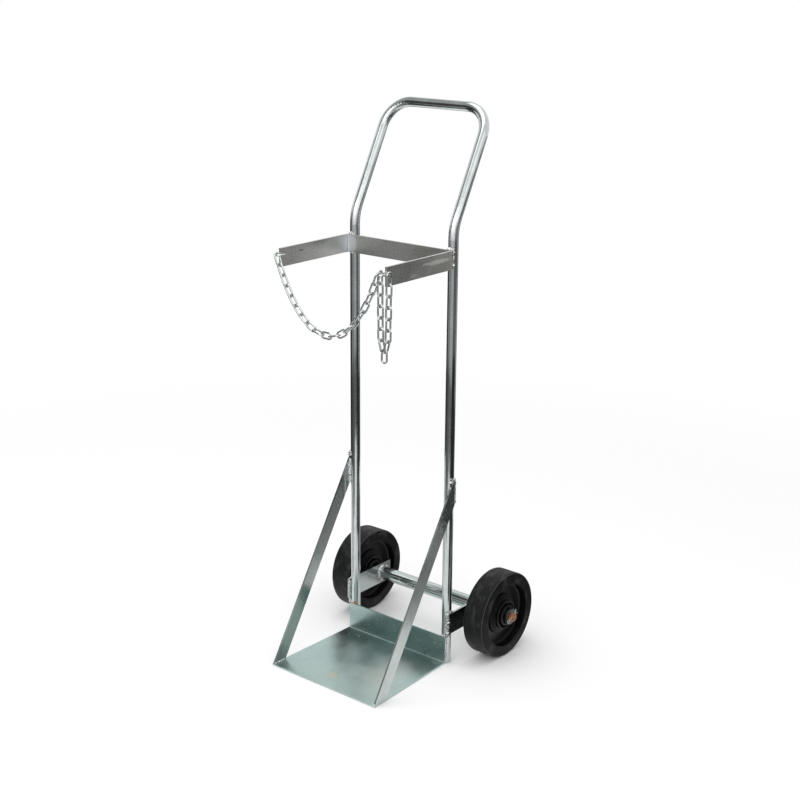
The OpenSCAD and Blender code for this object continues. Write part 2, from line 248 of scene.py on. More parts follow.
class Effects:
    """Shader node groups that several finishes share, each built once."""

    # Edge of a spot: where it ends and where it is full, as shares of its half axes.
    SPOT_EDGE = (1.0, 0.45)
    # Rust from deep to bright, and the grain at which each tone turns to the next.
    RUST_TONES = ((0.07, 0.022, 0.008), (0.34, 0.11, 0.025), (0.62, 0.25, 0.07))
    RUST_STEPS = ((0.36, 0.52), (0.52, 0.66))

    def __init__(self) -> None:
        """Builds every group."""
        self.clouds = self._clouds()
        self.lines = self._lines()
        self.specks = self._specks()
        self.patch = self._patch()
        self.rust = self._rust()

    @staticmethod
    def _start(
        name: str, inputs: dict[str, float | Point], outputs: Sequence[str] = ("Mask",)
    ) -> tuple[Graph, Any, Node]:
        """Opens a group whose first input is the coordinates.

        Args:
            name: the group's name.
            inputs: defaults of its other inputs, three numbers for a vector.
            outputs: names of its outputs; Color is a colour.

        Returns:
            The group's graph, its inputs by name, and its output node.
        """
        tree = bpy.data.node_groups.new(name, "ShaderNodeTree")
        tree.interface.new_socket(name="Vector", in_out="INPUT", socket_type="NodeSocketVector")
        for label, default in inputs.items():
            kind = "NodeSocketVector" if isinstance(default, tuple) else "NodeSocketFloat"
            tree.interface.new_socket(name=label, in_out="INPUT", socket_type=kind).default_value = default
        for label in outputs:
            kind = "NodeSocketColor" if label == "Color" else "NodeSocketFloat"
            tree.interface.new_socket(name=label, in_out="OUTPUT", socket_type=kind)
        graph = Graph(tree)
        return graph, graph.add("NodeGroupInput").outputs, graph.add("NodeGroupOutput")

    def _clouds(self) -> Tree:
        """Soft blotches: layered noise, sharpened about its middle by Contrast.

        Returns:
            The group.
        """
        g, given, out = self._start("Clouds", {"Scale": 20.0, "Contrast": 0.5})
        raw = g.noise(given["Vector"], given["Scale"], 4.0, 0.6)
        half = g.scale_to(given["Contrast"], 0.5, 0.04)
        g.join(out, {"Mask": g.ease(raw, g.math("SUBTRACT", 0.5, half), g.math("ADD", 0.5, half))})
        return g.tree

    def _lines(self) -> Tree:
        """Drawing lines: noise on coordinates that Stretch scales, so it runs long where that is small.

        Returns:
            The group.
        """
        g, given, out = self._start("DrawingLines", {"Stretch": (1.0, 1.0, 1.0)}, ("Value",))
        at = g.vector("MULTIPLY", given["Vector"], given["Stretch"])
        g.join(out, {"Value": g.noise(at, 1.0, 4.0, 0.65)})
        return g.tree

    def _specks(self) -> Tree:
        """Small round specks: cells nearer than Size to their centres, a share of them kept.

        Returns:
            The group.
        """
        g, given, out = self._start("Specks", {"Scale": 200.0, "Size": 0.2, "Share": 0.3})
        cells = g.add("ShaderNodeTexVoronoi", {"Vector": given["Vector"], "Scale": given["Scale"]}).outputs
        near = g.ease(cells["Distance"], given["Size"], 0.0)
        chosen = g.math("LESS_THAN", g.split(cells["Color"])[0], given["Share"])
        g.join(out, {"Mask": g.times(near, chosen)})
        return g.tree

    def _patch(self) -> Tree:
        """One spot: an ellipsoid about Centre with half axes Size, its edge made ragged by noise.

        Returns:
            The group.
        """
        inputs = {"Centre": (0.0, 0.0, 0.0), "Size": (0.01, 0.01, 0.01), "Ragged": 0.5, "Grain": 200.0}
        g, given, out = self._start("Patch", inputs)
        offset = g.vector("SUBTRACT", given["Vector"], given["Centre"])
        reach = g.length(g.vector("DIVIDE", offset, given["Size"]))
        ripple = g.math("SUBTRACT", g.noise(given["Vector"], given["Grain"], 3.0), 0.5)
        reach = g.total(reach, g.times(ripple, given["Ragged"]))
        g.join(out, {"Mask": g.ease(reach, *self.SPOT_EDGE)})
        return g.tree

    def _rust(self) -> Tree:
        """Rust colour: dark brown to bright orange by fine noise.

        Returns:
            The group.
        """
        g, given, out = self._start("RustColour", {"Scale": 300.0}, ("Color", "Grain"))
        grain = g.noise(given["Vector"], given["Scale"], 5.0, 0.7)
        colour: Any = self.RUST_TONES[0]
        for tone, step in zip(self.RUST_TONES[1:], self.RUST_STEPS):
            colour = g.mix(g.ease(grain, *step), colour, tone)
        g.join(out, {"Color": colour, "Grain": grain})
        return g.tree


def new_material(name: str) -> tuple[Material, Graph, Node, Socket]:
    """Opens a material with a Principled shader.

    Args:
        name: the material's name.

    Returns:
        The material, its graph, its shader and the object coordinates.
    """
    material = bpy.data.materials.new(name)
    material.use_nodes = True
    graph = Graph(material.node_tree)
    shader = material.node_tree.nodes["Principled BSDF"]
    return material, graph, shader, graph.add("ShaderNodeTexCoord").outputs["Object"]


@dataclass(frozen=True)
class Spot:
    """A stain, rust spot, lighter or darker patch, painted highlight or painted shade on a finish.

    Args:
        centre: its middle.
        size: half axes.
        colour: its colour, or None for rust.
        strength: how far it covers.
        metallic: share of metal that stays in it.
        roughness: roughness inside it.
        ragged: raggedness of its edge.
    """

    centre: Point
    size: Point
    colour: Colour | None = None
    strength: float = 1.0
    metallic: float = 0.0
    roughness: float = 0.8
    ragged: float = 0.9

    def lay(
        self, g: Graph, effects: Effects, at: Socket, colour: Socket, rough: Socket, metal: Any
    ) -> tuple[Socket, Socket, Socket]:
        """Lays the spot over a finish.

        Args:
            g: the material's graph.
            effects: the shared groups.
            at: object coordinates.
            colour: colour so far.
            rough: roughness so far.
            metal: metal so far.

        Returns:
            Colour, roughness and metal with the spot on them.
        """
        mask = g.mask(effects.patch, at, Centre=self.centre, Size=self.size, Ragged=self.ragged)
        mask = g.times(mask, self.strength)
        paint: Any = self.colour or g.group(effects.rust, at)["Color"]
        keep = g.math("SUBTRACT", 1.0, mask)
        rough = g.total(g.times(rough, keep), g.times(mask, self.roughness))
        return g.mix(mask, colour, paint), rough, g.times(metal, g.scale_to(mask, 1.0, self.metallic))


@dataclass(frozen=True)
class ZincFinish:
    """Zinc plate over steel, clouded and lined by the stock under it.

    Args:
        dark: colour of the darker clouds.
        light: colour of the lighter clouds.
        tint: colour that slow clouds lean to.
        tint_share: how far they do.
        rough: least and most roughness.
        stretch: scale of the drawing lines along X, Y and Z.
        lines: depth of the drawing lines' shading.
        cloud: scale of the clouds.
        speck: share of small dull specks.
        bump: depth of the surface's unevenness.
        grain: share of the fine grain.
        spots: stains and rust on it.
    """

    CLOUD_CONTRAST = 0.35
    SLOW_CLOUDS = {"Scale": 4.5, "Contrast": 0.45}
    FINE_NOISE = (240.0, 5.0, 0.65)  # scale, detail and roughness
    SPECKS = {"Scale": 170.0, "Size": 0.34}
    SPECK_COLOUR = (0.2, 0.21, 0.2)
    SPECK_COVER = 0.55
    FINE_SHADE = 0.06
    ROUGH_SWINGS = (0.07, 0.05, 0.2)  # of the lines, the grain and the specks
    HEIGHTS = (0.5, 0.35, 0.5)  # of the grain, the lines and the clouds
    BUMP_LENGTH = 0.0006

    dark: Colour
    light: Colour
    tint: Colour = (0.52, 0.62, 0.57)
    tint_share: float = 0.35
    rough: Span = (0.2, 0.36)
    stretch: Point = (500.0, 500.0, 5.0)
    lines: float = 0.16
    cloud: float = 26.0
    speck: float = 0.12
    bump: float = 0.12
    grain: float = 0.5
    spots: tuple[Spot, ...] = ()

    def build(self, name: str, effects: Effects) -> Material:
        """Builds the material.

        Args:
            name: its name.
            effects: the shared groups.

        Returns:
            The finished material.
        """
        material, g, shader, at = new_material(name)
        lines = self.line_value(g, effects, at)
        clouds = g.mask(effects.clouds, at, Scale=self.cloud, Contrast=self.CLOUD_CONTRAST)
        slow = g.mask(effects.clouds, at, **self.SLOW_CLOUDS)
        fine = g.about(g.noise(at, *self.FINE_NOISE), self.grain / 2, 0.5)
        colour = g.mix(clouds, self.dark, self.light)
        colour = g.mix(g.times(slow, self.tint_share), colour, self.tint)
        shade = g.total(g.about(lines, self.lines, 1.0), g.about(fine, self.FINE_SHADE))
        colour = g.mix(1.0, colour, g.combine(shade, shade, shade), "MULTIPLY")
        specks = g.mask(effects.specks, at, Share=self.speck, **self.SPECKS)
        colour = g.mix(g.times(specks, self.SPECK_COVER), colour, self.SPECK_COLOUR)
        of_lines, of_grain, of_specks = self.ROUGH_SWINGS
        rough = g.total(
            g.scale_to(clouds, *self.rough),
            g.about(lines, of_lines),
            g.about(fine, of_grain),
            g.times(specks, of_specks),
        )
        metal: Any = 1.0
        for spot in self.spots:
            colour, rough, metal = spot.lay(g, effects, at, colour, rough, metal)
        height = g.total(*(g.times(part, share) for part, share in zip((fine, lines, clouds), self.HEIGHTS)))
        normal = g.bump(self.bump, self.BUMP_LENGTH, self.extra_height(g, at, height))
        g.join(shader, {"Base Color": colour, "Roughness": rough, "Metallic": metal, "Normal": normal})
        return material

    def line_value(self, g: Graph, effects: Effects, at: Socket) -> Socket:
        """The value of the drawing lines."""
        return g.mask(effects.lines, at, Stretch=self.stretch)

    def extra_height(self, g: Graph, at: Socket, height: Socket) -> Socket:
        """Height that one stock has on top of the shared one: none here."""
        return height


@dataclass(frozen=True)
class BentTubeZinc(ZincFinish):
    """Zinc on the bent tube: its lines turn along the top bar, and its left corner is wrinkled.

    Args:
        bar_z: heights between which the lines turn.
        corner: centre of the left top corner's bend.
        lean: lean of the handle in degrees.
        bend: centre-line radius of the corner.
        wrinkles: wrinkles in a full turn about the corner's centre.
        wrinkle_height: height of the wrinkles.
        wrinkle_noise: scale and strength of the noise that moves them.
        wrinkle_start: angles in degrees over which they rise.
        wrinkle_end: angles over which they fall.
        wrinkle_reach: distance from the centre line at which they start and are full.
    """

    bar_z: Span = (1.2, 1.232)
    corner: Point = (-0.0764, 0.2362, 1.1857)
    lean: float = 27.5
    bend: float = 0.06
    wrinkles: float = 46.0
    wrinkle_height: float = 4.5
    wrinkle_noise: Span = (90.0, 9.0)
    wrinkle_start: Span = (84.0, 104.0)
    wrinkle_end: Span = (176.0, 158.0)
    wrinkle_reach: Span = (0.001, -0.006)

    def line_value(self, g: Graph, effects: Effects, at: Socket) -> Socket:
        """Lines along Z on the legs and along X on the top bar, joined over the bend.

        Args:
            g: the material's graph.
            effects: the shared groups.
            at: object coordinates.

        Returns:
            The value of the lines.
        """
        legs = g.mask(effects.lines, at, Stretch=self.stretch)
        bar = g.mask(effects.lines, at, Stretch=self.stretch[::-1])
        turn = g.ease(g.split(at)[2], *self.bar_z)
        return g.total(g.times(legs, g.math("SUBTRACT", 1.0, turn)), g.times(bar, turn))

    def extra_height(self, g: Graph, at: Socket, height: Socket) -> Socket:
        """Adds ripples across the inside of the left corner: a sine of the angle about the bend's centre.

        Args:
            g: the material's graph.
            at: object coordinates.
            height: the shared height.

        Returns:
            The height with the ripples on it.
        """
        offset = g.vector("SUBTRACT", at, self.corner)
        lean = math.radians(self.lean)
        up, side = g.dot(offset, (0.0, math.sin(lean), math.cos(lean))), g.split(offset)[0]
        angle = g.math("ARCTAN2", up, side)
        scale, strength = self.wrinkle_noise
        wander = g.times(g.noise(at, scale, 2.0), strength)
        wave = g.math("SINE", g.total(g.times(angle, self.wrinkles), wander))
        inside = g.ease(g.reach(up, side), *(self.bend + reach for reach in self.wrinkle_reach))
        start, end = (g.ease(angle, *map(math.radians, span)) for span in (self.wrinkle_start, self.wrinkle_end))
        return g.total(height, g.times(wave, g.times(inside, start, end), self.wrinkle_height))


@dataclass(frozen=True)
class WeldFinish:
    """Bright weld metal with darker heat in its hollows and specks of slag and rust.

    Args:
        hot: colour of the heat marks.
        bright: colour of the bright metal.
        slag: colour of the specks.
        spots: rusty or dark places.
    """

    HEAT_NOISE = (160.0, 4.0, 0.6)  # scale, detail and roughness
    HEAT_STEP = (0.34, 0.6)
    SPECKS = {"Scale": 330.0, "Size": 0.4, "Share": 0.16}
    SPECK_COVER = 0.7
    ROUGH = (0.42, 0.18)  # in the hollows and on the bright metal
    FINE_SCALE, FINE_ROUGH, FINE_HEIGHT = 900.0, 0.05, 0.6
    BUMP, BUMP_LENGTH = 0.3, 0.0008

    hot: Colour = (0.4, 0.39, 0.36)
    bright: Colour = (0.82, 0.84, 0.84)
    slag: Colour = (0.2, 0.13, 0.08)
    spots: tuple[Spot, ...] = ()

    def build(self, name: str, effects: Effects) -> Material:
        """Builds the material.

        Args:
            name: its name.
            effects: the shared groups.

        Returns:
            The finished material.
        """
        material, g, shader, at = new_material(name)
        heat = g.noise(at, *self.HEAT_NOISE)
        fine = g.noise(at, self.FINE_SCALE, 3.0)
        colour = g.mix(g.ease(heat, *self.HEAT_STEP), self.hot, self.bright)
        specks = g.mask(effects.specks, at, **self.SPECKS)
        colour = g.mix(g.times(specks, self.SPECK_COVER), colour, self.slag)
        rough = g.total(g.scale_to(heat, *self.ROUGH), g.about(fine, self.FINE_ROUGH))
        metal: Any = 1.0
        for spot in self.spots:
            colour, rough, metal = spot.lay(g, effects, at, colour, rough, metal)
        normal = g.bump(self.BUMP, self.BUMP_LENGTH, g.total(g.times(fine, self.FINE_HEIGHT), heat))
        g.join(shader, {"Base Color": colour, "Roughness": rough, "Metallic": metal, "Normal": normal})
        return material


@dataclass(frozen=True)
class RustyAxleFinish:
    """Bare axle bar, rusted orange at its ends and plain steel between the wheels.

    Args:
        clean_x: distance from the middle where rust starts.
        fade: length over which it grows.
        dark: colour of the steel's darker lines.
        light: colour of its lighter lines.
        rough: roughness of steel and rust.
    """

    RUST_SCALE = 210.0
    STRETCH = (6.0, 500.0, 500.0)
    CLOUDS = {"Scale": 120.0, "Contrast": 0.5}
    LEAST_COVER = 0.78
    RUST_METAL = 0.15
    BUMP, BUMP_LENGTH = 0.5, 0.0008

    clean_x: float = 0.2105
    fade: float = 0.02
    dark: Colour = (0.34, 0.33, 0.31)
    light: Colour = (0.56, 0.55, 0.52)
    rough: Span = (0.34, 0.72)

    def build(self, name: str, effects: Effects) -> Material:
        """Builds the material.

        Args:
            name: its name.
            effects: the shared groups.

        Returns:
            The finished material.
        """
        material, g, shader, at = new_material(name)
        rust = g.group(effects.rust, at, Scale=self.RUST_SCALE)
        steel = g.mix(g.mask(effects.lines, at, Stretch=self.STRETCH), self.dark, self.light)
        out = g.math("ABSOLUTE", g.split(at)[0])
        clouds = g.mask(effects.clouds, at, **self.CLOUDS)
        end = g.ease(out, self.clean_x, self.clean_x + self.fade)
        cover = g.times(end, g.scale_to(clouds, self.LEAST_COVER, 1.0))
        looks = {
            "Base Color": g.mix(cover, steel, rust["Color"]),
            "Roughness": g.scale_to(cover, *self.rough),
            "Metallic": g.scale_to(cover, 1.0, self.RUST_METAL),
            "Normal": g.bump(self.BUMP, self.BUMP_LENGTH, g.times(rust["Grain"], cover)),
        }
        g.join(shader, looks)
        return material


@dataclass(frozen=True)
class BlackFinish:
    """Black rubber or moulded plastic, satin, with fine turning lines, a little dust, painted shade on walls or faces
    and painted highlights on rounded edges.

    Args:
        dark: colour of the clean surface.
        dusty: colour where dust lies.
        dust: share of dust.
        rough: least and most roughness.
        axle: point (Y, Z) of the wheel axis, which the turning lines go round.
        pitch: turning lines per metre of radius.
        bump: depth of the lines.
        shine: specular level.
        wall: colour of the painted shade on the walls that face away from the wheel axis or to it, or None.
        shade: radii between which the surface takes nearly as much painted shade as the walls.
        face: colour of the painted shade on the faces across the wheel axis, or None.
        scuff_and_highlight: colour of the painted highlight on rounded edges, and of scuffs.
        scuffs: strength of the scuffs, which run round the tread.
    """

    CLOUDS = {"Scale": 38.0, "Contrast": 0.3}
    FINE_NOISE = (700.0, 4.0, 0.7)  # scale, detail and roughness
    LINE_NOISE = (1.0, 3.0, 0.6)
    DUST_STEP = (0.42, 0.7)
    SPECKS = {"Scale": 150.0, "Size": 0.2, "Share": 0.05}
    SPECK_COLOUR = (0.12, 0.12, 0.115)
    SPECK_COVER = 0.5
    # Steps of the normal's part along the wheel axis: 0 on a wall, 1 on a face.
    WALL_STEP, FACE_STEP = (0.15, 0.85), (0.8, 0.97)
    # Painted highlight on rounded edges: steps of the normal's part along the wheel axis that bound it, and its least
    # and most cover.
    EDGE_STEPS = ((0.4, 0.6), (0.85, 0.65))
    EDGE_HIGHLIGHT_COVER = (0.3, 0.9)
    # Painted shade in the dish: softness of its ring's edges, and the share of the own colour left inside the ring.
    RING_EDGE, RING_OPEN = 0.001, 0.25
    SCUFF_STRETCH, SCUFF_NOISE, SCUFF_STEP = (72.0, 30.0, 30.0), (1.0, 4.0, 0.6), (0.5, 0.66)
    LINE_ROUGH, DUST_ROUGH = 0.05, 0.3
    LINE_HEIGHT, FINE_HEIGHT, BUMP_LENGTH = 0.6, 0.5, 0.0005

    dark: Colour
    dusty: Colour
    dust: float = 0.3
    rough: Span = (0.4, 0.6)
    axle: Span = (0.2546, 0.1)
    pitch: float = 900.0
    bump: float = 0.1
    shine: float = 0.35
    wall: Colour | None = None
    shade: Span = (0.0345, 0.0475)
    face: Colour | None = None
    scuff_and_highlight: Colour = (0.035, 0.036, 0.037)
    scuffs: float = 0.0

    def build(self, name: str, effects: Effects) -> Material:
        """Builds the material.

        Args:
            name: its name.
            effects: the shared groups.

        Returns:
            The finished material.
        """
        material, g, shader, at = new_material(name)
        offset = g.vector("SUBTRACT", at, (0.0, *self.axle))
        x, y, z = g.split(offset)
        reach = g.reach(y, z)
        lines = g.noise(g.combine(g.times(reach, self.pitch), g.times(x, self.pitch), 0.0), *self.LINE_NOISE)
        clouds = g.mask(effects.clouds, at, **self.CLOUDS)
        fine = g.noise(at, *self.FINE_NOISE)
        dust = g.times(clouds, g.ease(fine, *self.DUST_STEP), self.dust)
        specks = g.mask(effects.specks, at, **self.SPECKS)
        colour = g.mix(g.times(specks, self.SPECK_COVER), g.mix(dust, self.dark, self.dusty), self.SPECK_COLOUR)
        along = g.math("ABSOLUTE", g.split(g.add("ShaderNodeTexCoord").outputs["Normal"])[0])
        # Painted shade in the dish: the walls take the wall colour, and so, mostly, do the faces between the shade
        # radii.
        if self.wall:
            low, high = self.shade
            ring = g.times(g.ease(reach, low, low + self.RING_EDGE), g.ease(reach, high, high - self.RING_EDGE))
            out_of_painted_shade = g.times(g.ease(along, *self.WALL_STEP), g.scale_to(ring, 1.0, self.RING_OPEN))
            colour = g.mix(out_of_painted_shade, self.wall, colour)
        # Painted shade: the faces across the wheel axis take the darker face colour, with dust over it.
        if self.face:
            colour = g.mix(g.ease(along, *self.FACE_STEP), colour, g.mix(dust, self.face, self.dusty))
        # Painted highlight on rounded edges between walls and faces, made patchy by fine noise.
        edge = g.times(*(g.ease(along, *step) for step in self.EDGE_STEPS))
        colour = g.mix(g.times(edge, g.scale_to(fine, *self.EDGE_HIGHLIGHT_COVER)), colour, self.scuff_and_highlight)
        if self.scuffs:
            streaks = g.noise(g.vector("MULTIPLY", offset, self.SCUFF_STRETCH), *self.SCUFF_NOISE)
            colour = g.mix(g.times(g.ease(streaks, *self.SCUFF_STEP), self.scuffs), colour, self.scuff_and_highlight)
        rough = g.total(
            g.scale_to(clouds, *self.rough), g.about(lines, self.LINE_ROUGH), g.times(dust, self.DUST_ROUGH)
        )
        height = g.total(g.times(lines, self.LINE_HEIGHT), g.times(fine, self.FINE_HEIGHT))
        normal = g.bump(self.bump, self.BUMP_LENGTH, height)
        g.join(shader, {"Base Color": colour, "Roughness": rough, "Normal": normal, "Specular IOR Level": self.shine})
        return material


def finishes() -> dict[Finish, Any]:
    """The recipe of each finish of the trolley.

    Returns:
        A frozen finish, with a build method, for each name.
    """
    foot_rust = Spot((-0.1275, 0.1302, 0.0685), (0.0095, 0.006, 0.0045))
    # Painted highlights: near-white patches on both uprights just above the strap.
    lean_painted_highlight = (
        Spot((side.value * 0.1364, 0.147, 0.995), (0.018, 0.034, 0.048), (0.86, 0.86, 0.9), 0.75, 1.0, 0.4, 0.3)
        for side in Side
    )
    return {
        Finish.TUBE_ZINC: BentTubeZinc(
            (0.46, 0.49, 0.495),
            (0.66, 0.69, 0.695),
            rough=(0.08, 0.16),
            lines=0.13,
            speck=0.06,
            bump=0.06,
            spots=(foot_rust, *lean_painted_highlight),
        ),
        Finish.AXLE_ZINC: ZincFinish(
            (0.42, 0.465, 0.465),
            (0.6, 0.65, 0.65),
            rough=(0.05, 0.12),
            stretch=(5.0, 500.0, 500.0),
            tint_share=0.5,
            speck=0.03,
            bump=0.03,
            spots=(Spot((-0.128, 0.2546, 0.1), (0.034, 0.022, 0.022), (0.27, 0.29, 0.31), 0.8, 1.0, 0.42, 0.4),),
        ),
        Finish.SHEET_ZINC: ZincFinish(
            (0.36, 0.475, 0.465),
            (0.54, 0.68, 0.665),
            tint=(0.5, 0.6, 0.54),
            rough=(0.25, 0.4),
            stretch=(60.0, 3.0, 60.0),
            cloud=14.0,
            lines=0.1,
            speck=0.003,
            bump=0.05,
            grain=0.3,
            spots=(
                # Painted highlight: a pale neutral patch across the middle right of the plate.
                Spot((0.075, 0.01, 0.003), (0.055, 0.1, 0.004), (0.62, 0.65, 0.6), 0.55, 1.0, 0.38, 0.5),
                # A lighter patch at the front right, and a yellowish patch at the front.
                Spot((0.105, -0.07, 0.003), (0.045, 0.04, 0.004), (0.58, 0.66, 0.6), 0.3, 1.0, 0.34, 0.7),
                Spot((-0.012, -0.083, 0.003), (0.02, 0.015, 0.004), (0.62, 0.58, 0.38), 0.5, 0.75, 0.4, 0.3),
                # Darker patches at both back corners of the plate.
                Spot((-0.128, 0.1, 0.003), (0.03, 0.026, 0.004), (0.2, 0.24, 0.24), 0.4, 1.0, 0.3, 1.3),
                Spot((0.12, 0.105, 0.003), (0.03, 0.02, 0.004), (0.2, 0.23, 0.23), 0.25, 1.0, 0.35, 1.3),
                # Painted shade: the upstand's front face is darkened to stand for a dark reflection.
                Spot((0.0, 0.1285, 0.038), (0.26, 0.006, 0.05), (0.25, 0.35, 0.34), 0.7, 1.0, 0.24, 0.25),
            ),
        ),
        Finish.BAR_ZINC: ZincFinish(
            (0.46, 0.5, 0.485),
            (0.6, 0.64, 0.625),
            rough=(0.14, 0.24),
            stretch=(220.0, 40.0, 24.0),
            cloud=22.0,
            speck=0.05,
            bump=0.07,
            spots=(
                # Painted reflections: lighter, greener patches low on the left brace and at the top of the right
                # brace.
                Spot((-0.1475, -0.07, 0.085), (0.004, 0.06, 0.1), (0.6, 0.72, 0.66), 0.6, 0.6, 0.42, 0.4),
                Spot((0.1515, 0.12, 0.41), (0.004, 0.05, 0.07), (0.62, 0.73, 0.71), 0.7, 1.0, 0.26, 0.4),
                # Painted reflection: a ragged lighter patch halfway up the right brace.
                Spot((0.1515, 0.07, 0.325), (0.004, 0.05, 0.08), (0.46, 0.5, 0.48), 0.45, 0.6, 0.34, 1.8),
                # Painted highlight: a near-white patch at the top of the left brace.
                Spot((-0.1475, 0.122, 0.405), (0.004, 0.018, 0.034), (0.84, 0.85, 0.88), 0.8, 1.0, 0.44, 0.6),
            ),
        ),
        Finish.BRACKET_ZINC: ZincFinish(
            (0.34, 0.37, 0.36),
            (0.44, 0.475, 0.46),
            rough=(0.14, 0.24),
            stretch=(220.0, 24.0, 40.0),
            cloud=30.0,
            speck=0.06,
            bump=0.07,
        ),
        Finish.STRAP_STEEL: ZincFinish(
            (0.5, 0.505, 0.485),
            (0.62, 0.625, 0.61),
            tint=(0.52, 0.52, 0.47),
            rough=(0.22, 0.32),
            stretch=(30.0, 30.0, 420.0),
            lines=0.05,
            cloud=14.0,
            speck=0.01,
            bump=0.015,
            grain=0.06,
            spots=(
                # Painted shade: the back bar is darkened over its right part, and the right arm is darkened, both
                # standing for dark reflections.
                Spot((0.095, 0.1255, 0.938), (0.08, 0.004, 0.036), (0.34, 0.34, 0.31), 0.65, 1.0, 0.28, 0.4),
                Spot((0.1475, 0.105, 0.93), (0.003, 0.05, 0.03), (0.4, 0.385, 0.34), 0.5, 1.0, 0.3, 0.6),
                # Painted highlights: the left arm is lighter towards the left corner, and a bright line runs along
                # the right arm's top edge.
                Spot((-0.1425, 0.085, 0.938), (0.003, 0.07, 0.03), (0.82, 0.84, 0.84), 0.6, 1.0, 0.4, 0.3),
                Spot((0.1475, 0.074, 0.943), (0.002, 0.055, 0.006), (0.85, 0.85, 0.82), 0.85, 1.0, 0.5, 1.4),
                # A lighter mark low on the right arm.
                Spot((0.1475, -0.004, 0.926), (0.002, 0.012, 0.006), (0.7, 0.68, 0.64), 0.5, 1.0, 0.5, 1.8),
                # A small dark mark near the front of the left arm's top edge.
                Spot((-0.1425, -0.028, 0.945), (0.002, 0.012, 0.0022), (0.1, 0.1, 0.1), 0.75, 0.8, 0.6, 1.0),
                # Painted highlight: a bluish-white patch over the strap's left inner corner.
                Spot((-0.134, 0.122, 0.938), (0.022, 0.016, 0.034), (0.86, 0.88, 0.92), 0.8, 1.0, 0.45, 0.3),
            ),
        ),
        Finish.CHAIN_ZINC: ZincFinish(
            (0.44, 0.46, 0.465),
            (0.68, 0.7, 0.7),
            tint_share=0.1,
            rough=(0.1, 0.2),
            stretch=(160.0, 160.0, 160.0),
            cloud=60.0,
        ),
        Finish.PIN_ZINC: ZincFinish(
            (0.5, 0.5, 0.48), (0.78, 0.78, 0.76), rough=(0.16, 0.3), stretch=(200.0, 200.0, 200.0), cloud=80.0
        ),
        Finish.WASHER_ZINC: ZincFinish(
            (0.13, 0.15, 0.145), (0.26, 0.29, 0.28), rough=(0.3, 0.45), stretch=(200.0, 200.0, 200.0), cloud=80.0
        ),
        Finish.WELD: WeldFinish(
            spots=(
                Spot((-0.1459, 0.2546, 0.0835), (0.006, 0.012, 0.006)),
                Spot((-0.1459, 0.2435, 0.088), (0.006, 0.006, 0.006), strength=0.8),
                Spot((-0.1275, 0.1302, 0.067), (0.008, 0.006, 0.005)),
            ),
        ),
        Finish.RUSTY_AXLE: RustyAxleFinish(),
        Finish.TYRE_RUBBER: BlackFinish(
            (0.0072, 0.0076, 0.0079),
            (0.07, 0.071, 0.067),
            dust=0.45,
            rough=(0.32, 0.52),
            shine=0.12,
            # Painted shade on the tyre's faces.
            face=(0.0022, 0.0023, 0.0025),
            # Painted highlight on the tyre's shoulders, in the same colour as its scuffs.
            scuff_and_highlight=(0.075, 0.077, 0.076),
            scuffs=0.34,
        ),
        Finish.WHEEL_PLASTIC: BlackFinish(
            (0.006, 0.0061, 0.0065),
            (0.03, 0.03, 0.029),
            dust=0.2,
            rough=(0.26, 0.4),
            shine=0.3,
            # Painted shade on the dish's walls.
            wall=(0.0014, 0.0014, 0.0016),
        ),
        Finish.BUSH_BRONZE: ZincFinish(
            (0.36, 0.25, 0.13), (0.55, 0.4, 0.22), tint=(0.3, 0.22, 0.12), stretch=(6.0, 400.0, 400.0)
        ),
    }


def round_angles(count: int) -> np.ndarray:
    """Even angles round a full turn, without the last one."""
    return np.linspace(0.0, FULL_TURN, count, endpoint=False)


def unit(vectors: np.ndarray) -> np.ndarray:
    """Each vector divided by its length."""
    return vectors / np.linalg.norm(vectors, axis=-1, keepdims=True)


def side_axes(direction: np.ndarray) -> tuple[np.ndarray, np.ndarray]:
    """Two unit vectors square to each direction: its cross product with Z, or with Y where it is steep.

    Args:
        direction: one unit vector or several.

    Returns:
        The vector across each direction, and the one square to both.
    """
    steep_from = 0.8
    steep = np.abs(direction[..., 2:3]) >= steep_from
    across = unit(np.cross(direction, np.where(steep, [0.0, 1.0, 0.0], [0.0, 0.0, 1.0])))
    return across, np.cross(across, direction)


def grid_faces(rows: int, columns: int) -> np.ndarray:
    """Corner numbers of the four-sided faces of a grid that is closed round its columns.

    Args:
        rows: rings of points.
        columns: points in a ring.

    Returns:
        One row of four numbers for each face.
    """
    row, column = np.meshgrid(np.arange(rows - 1), np.arange(columns), indexing="ij")
    here, after = row * columns + column, row * columns + (column + 1) % columns
    return np.stack([c.ravel() for c in (here, after, after + columns, here + columns)], axis=1)


def cap_faces(ring: np.ndarray, pole: int) -> np.ndarray:
    """Triangles from a ring of point numbers to one pole."""
    return np.stack([ring, np.roll(ring, -1), np.full_like(ring, pole)], axis=1)


def mesh_object(name: str, points: np.ndarray, faces: list[list[int]], material: Material) -> bpy.types.Object:
    """Makes a mesh object at the origin and links it to the scene.

    Args:
        name: name of the object and its mesh.
        points: one row of coordinates for each point.
        faces: point numbers of each face.
        material: its finish.

    Returns:
        The new object.
    """
    mesh = bpy.data.meshes.new(name)
    mesh.from_pydata(points.tolist(), [], faces)
    mesh.materials.append(material)
    made = bpy.data.objects.new(name, mesh)
    bpy.context.scene.collection.objects.link(made)
    return made


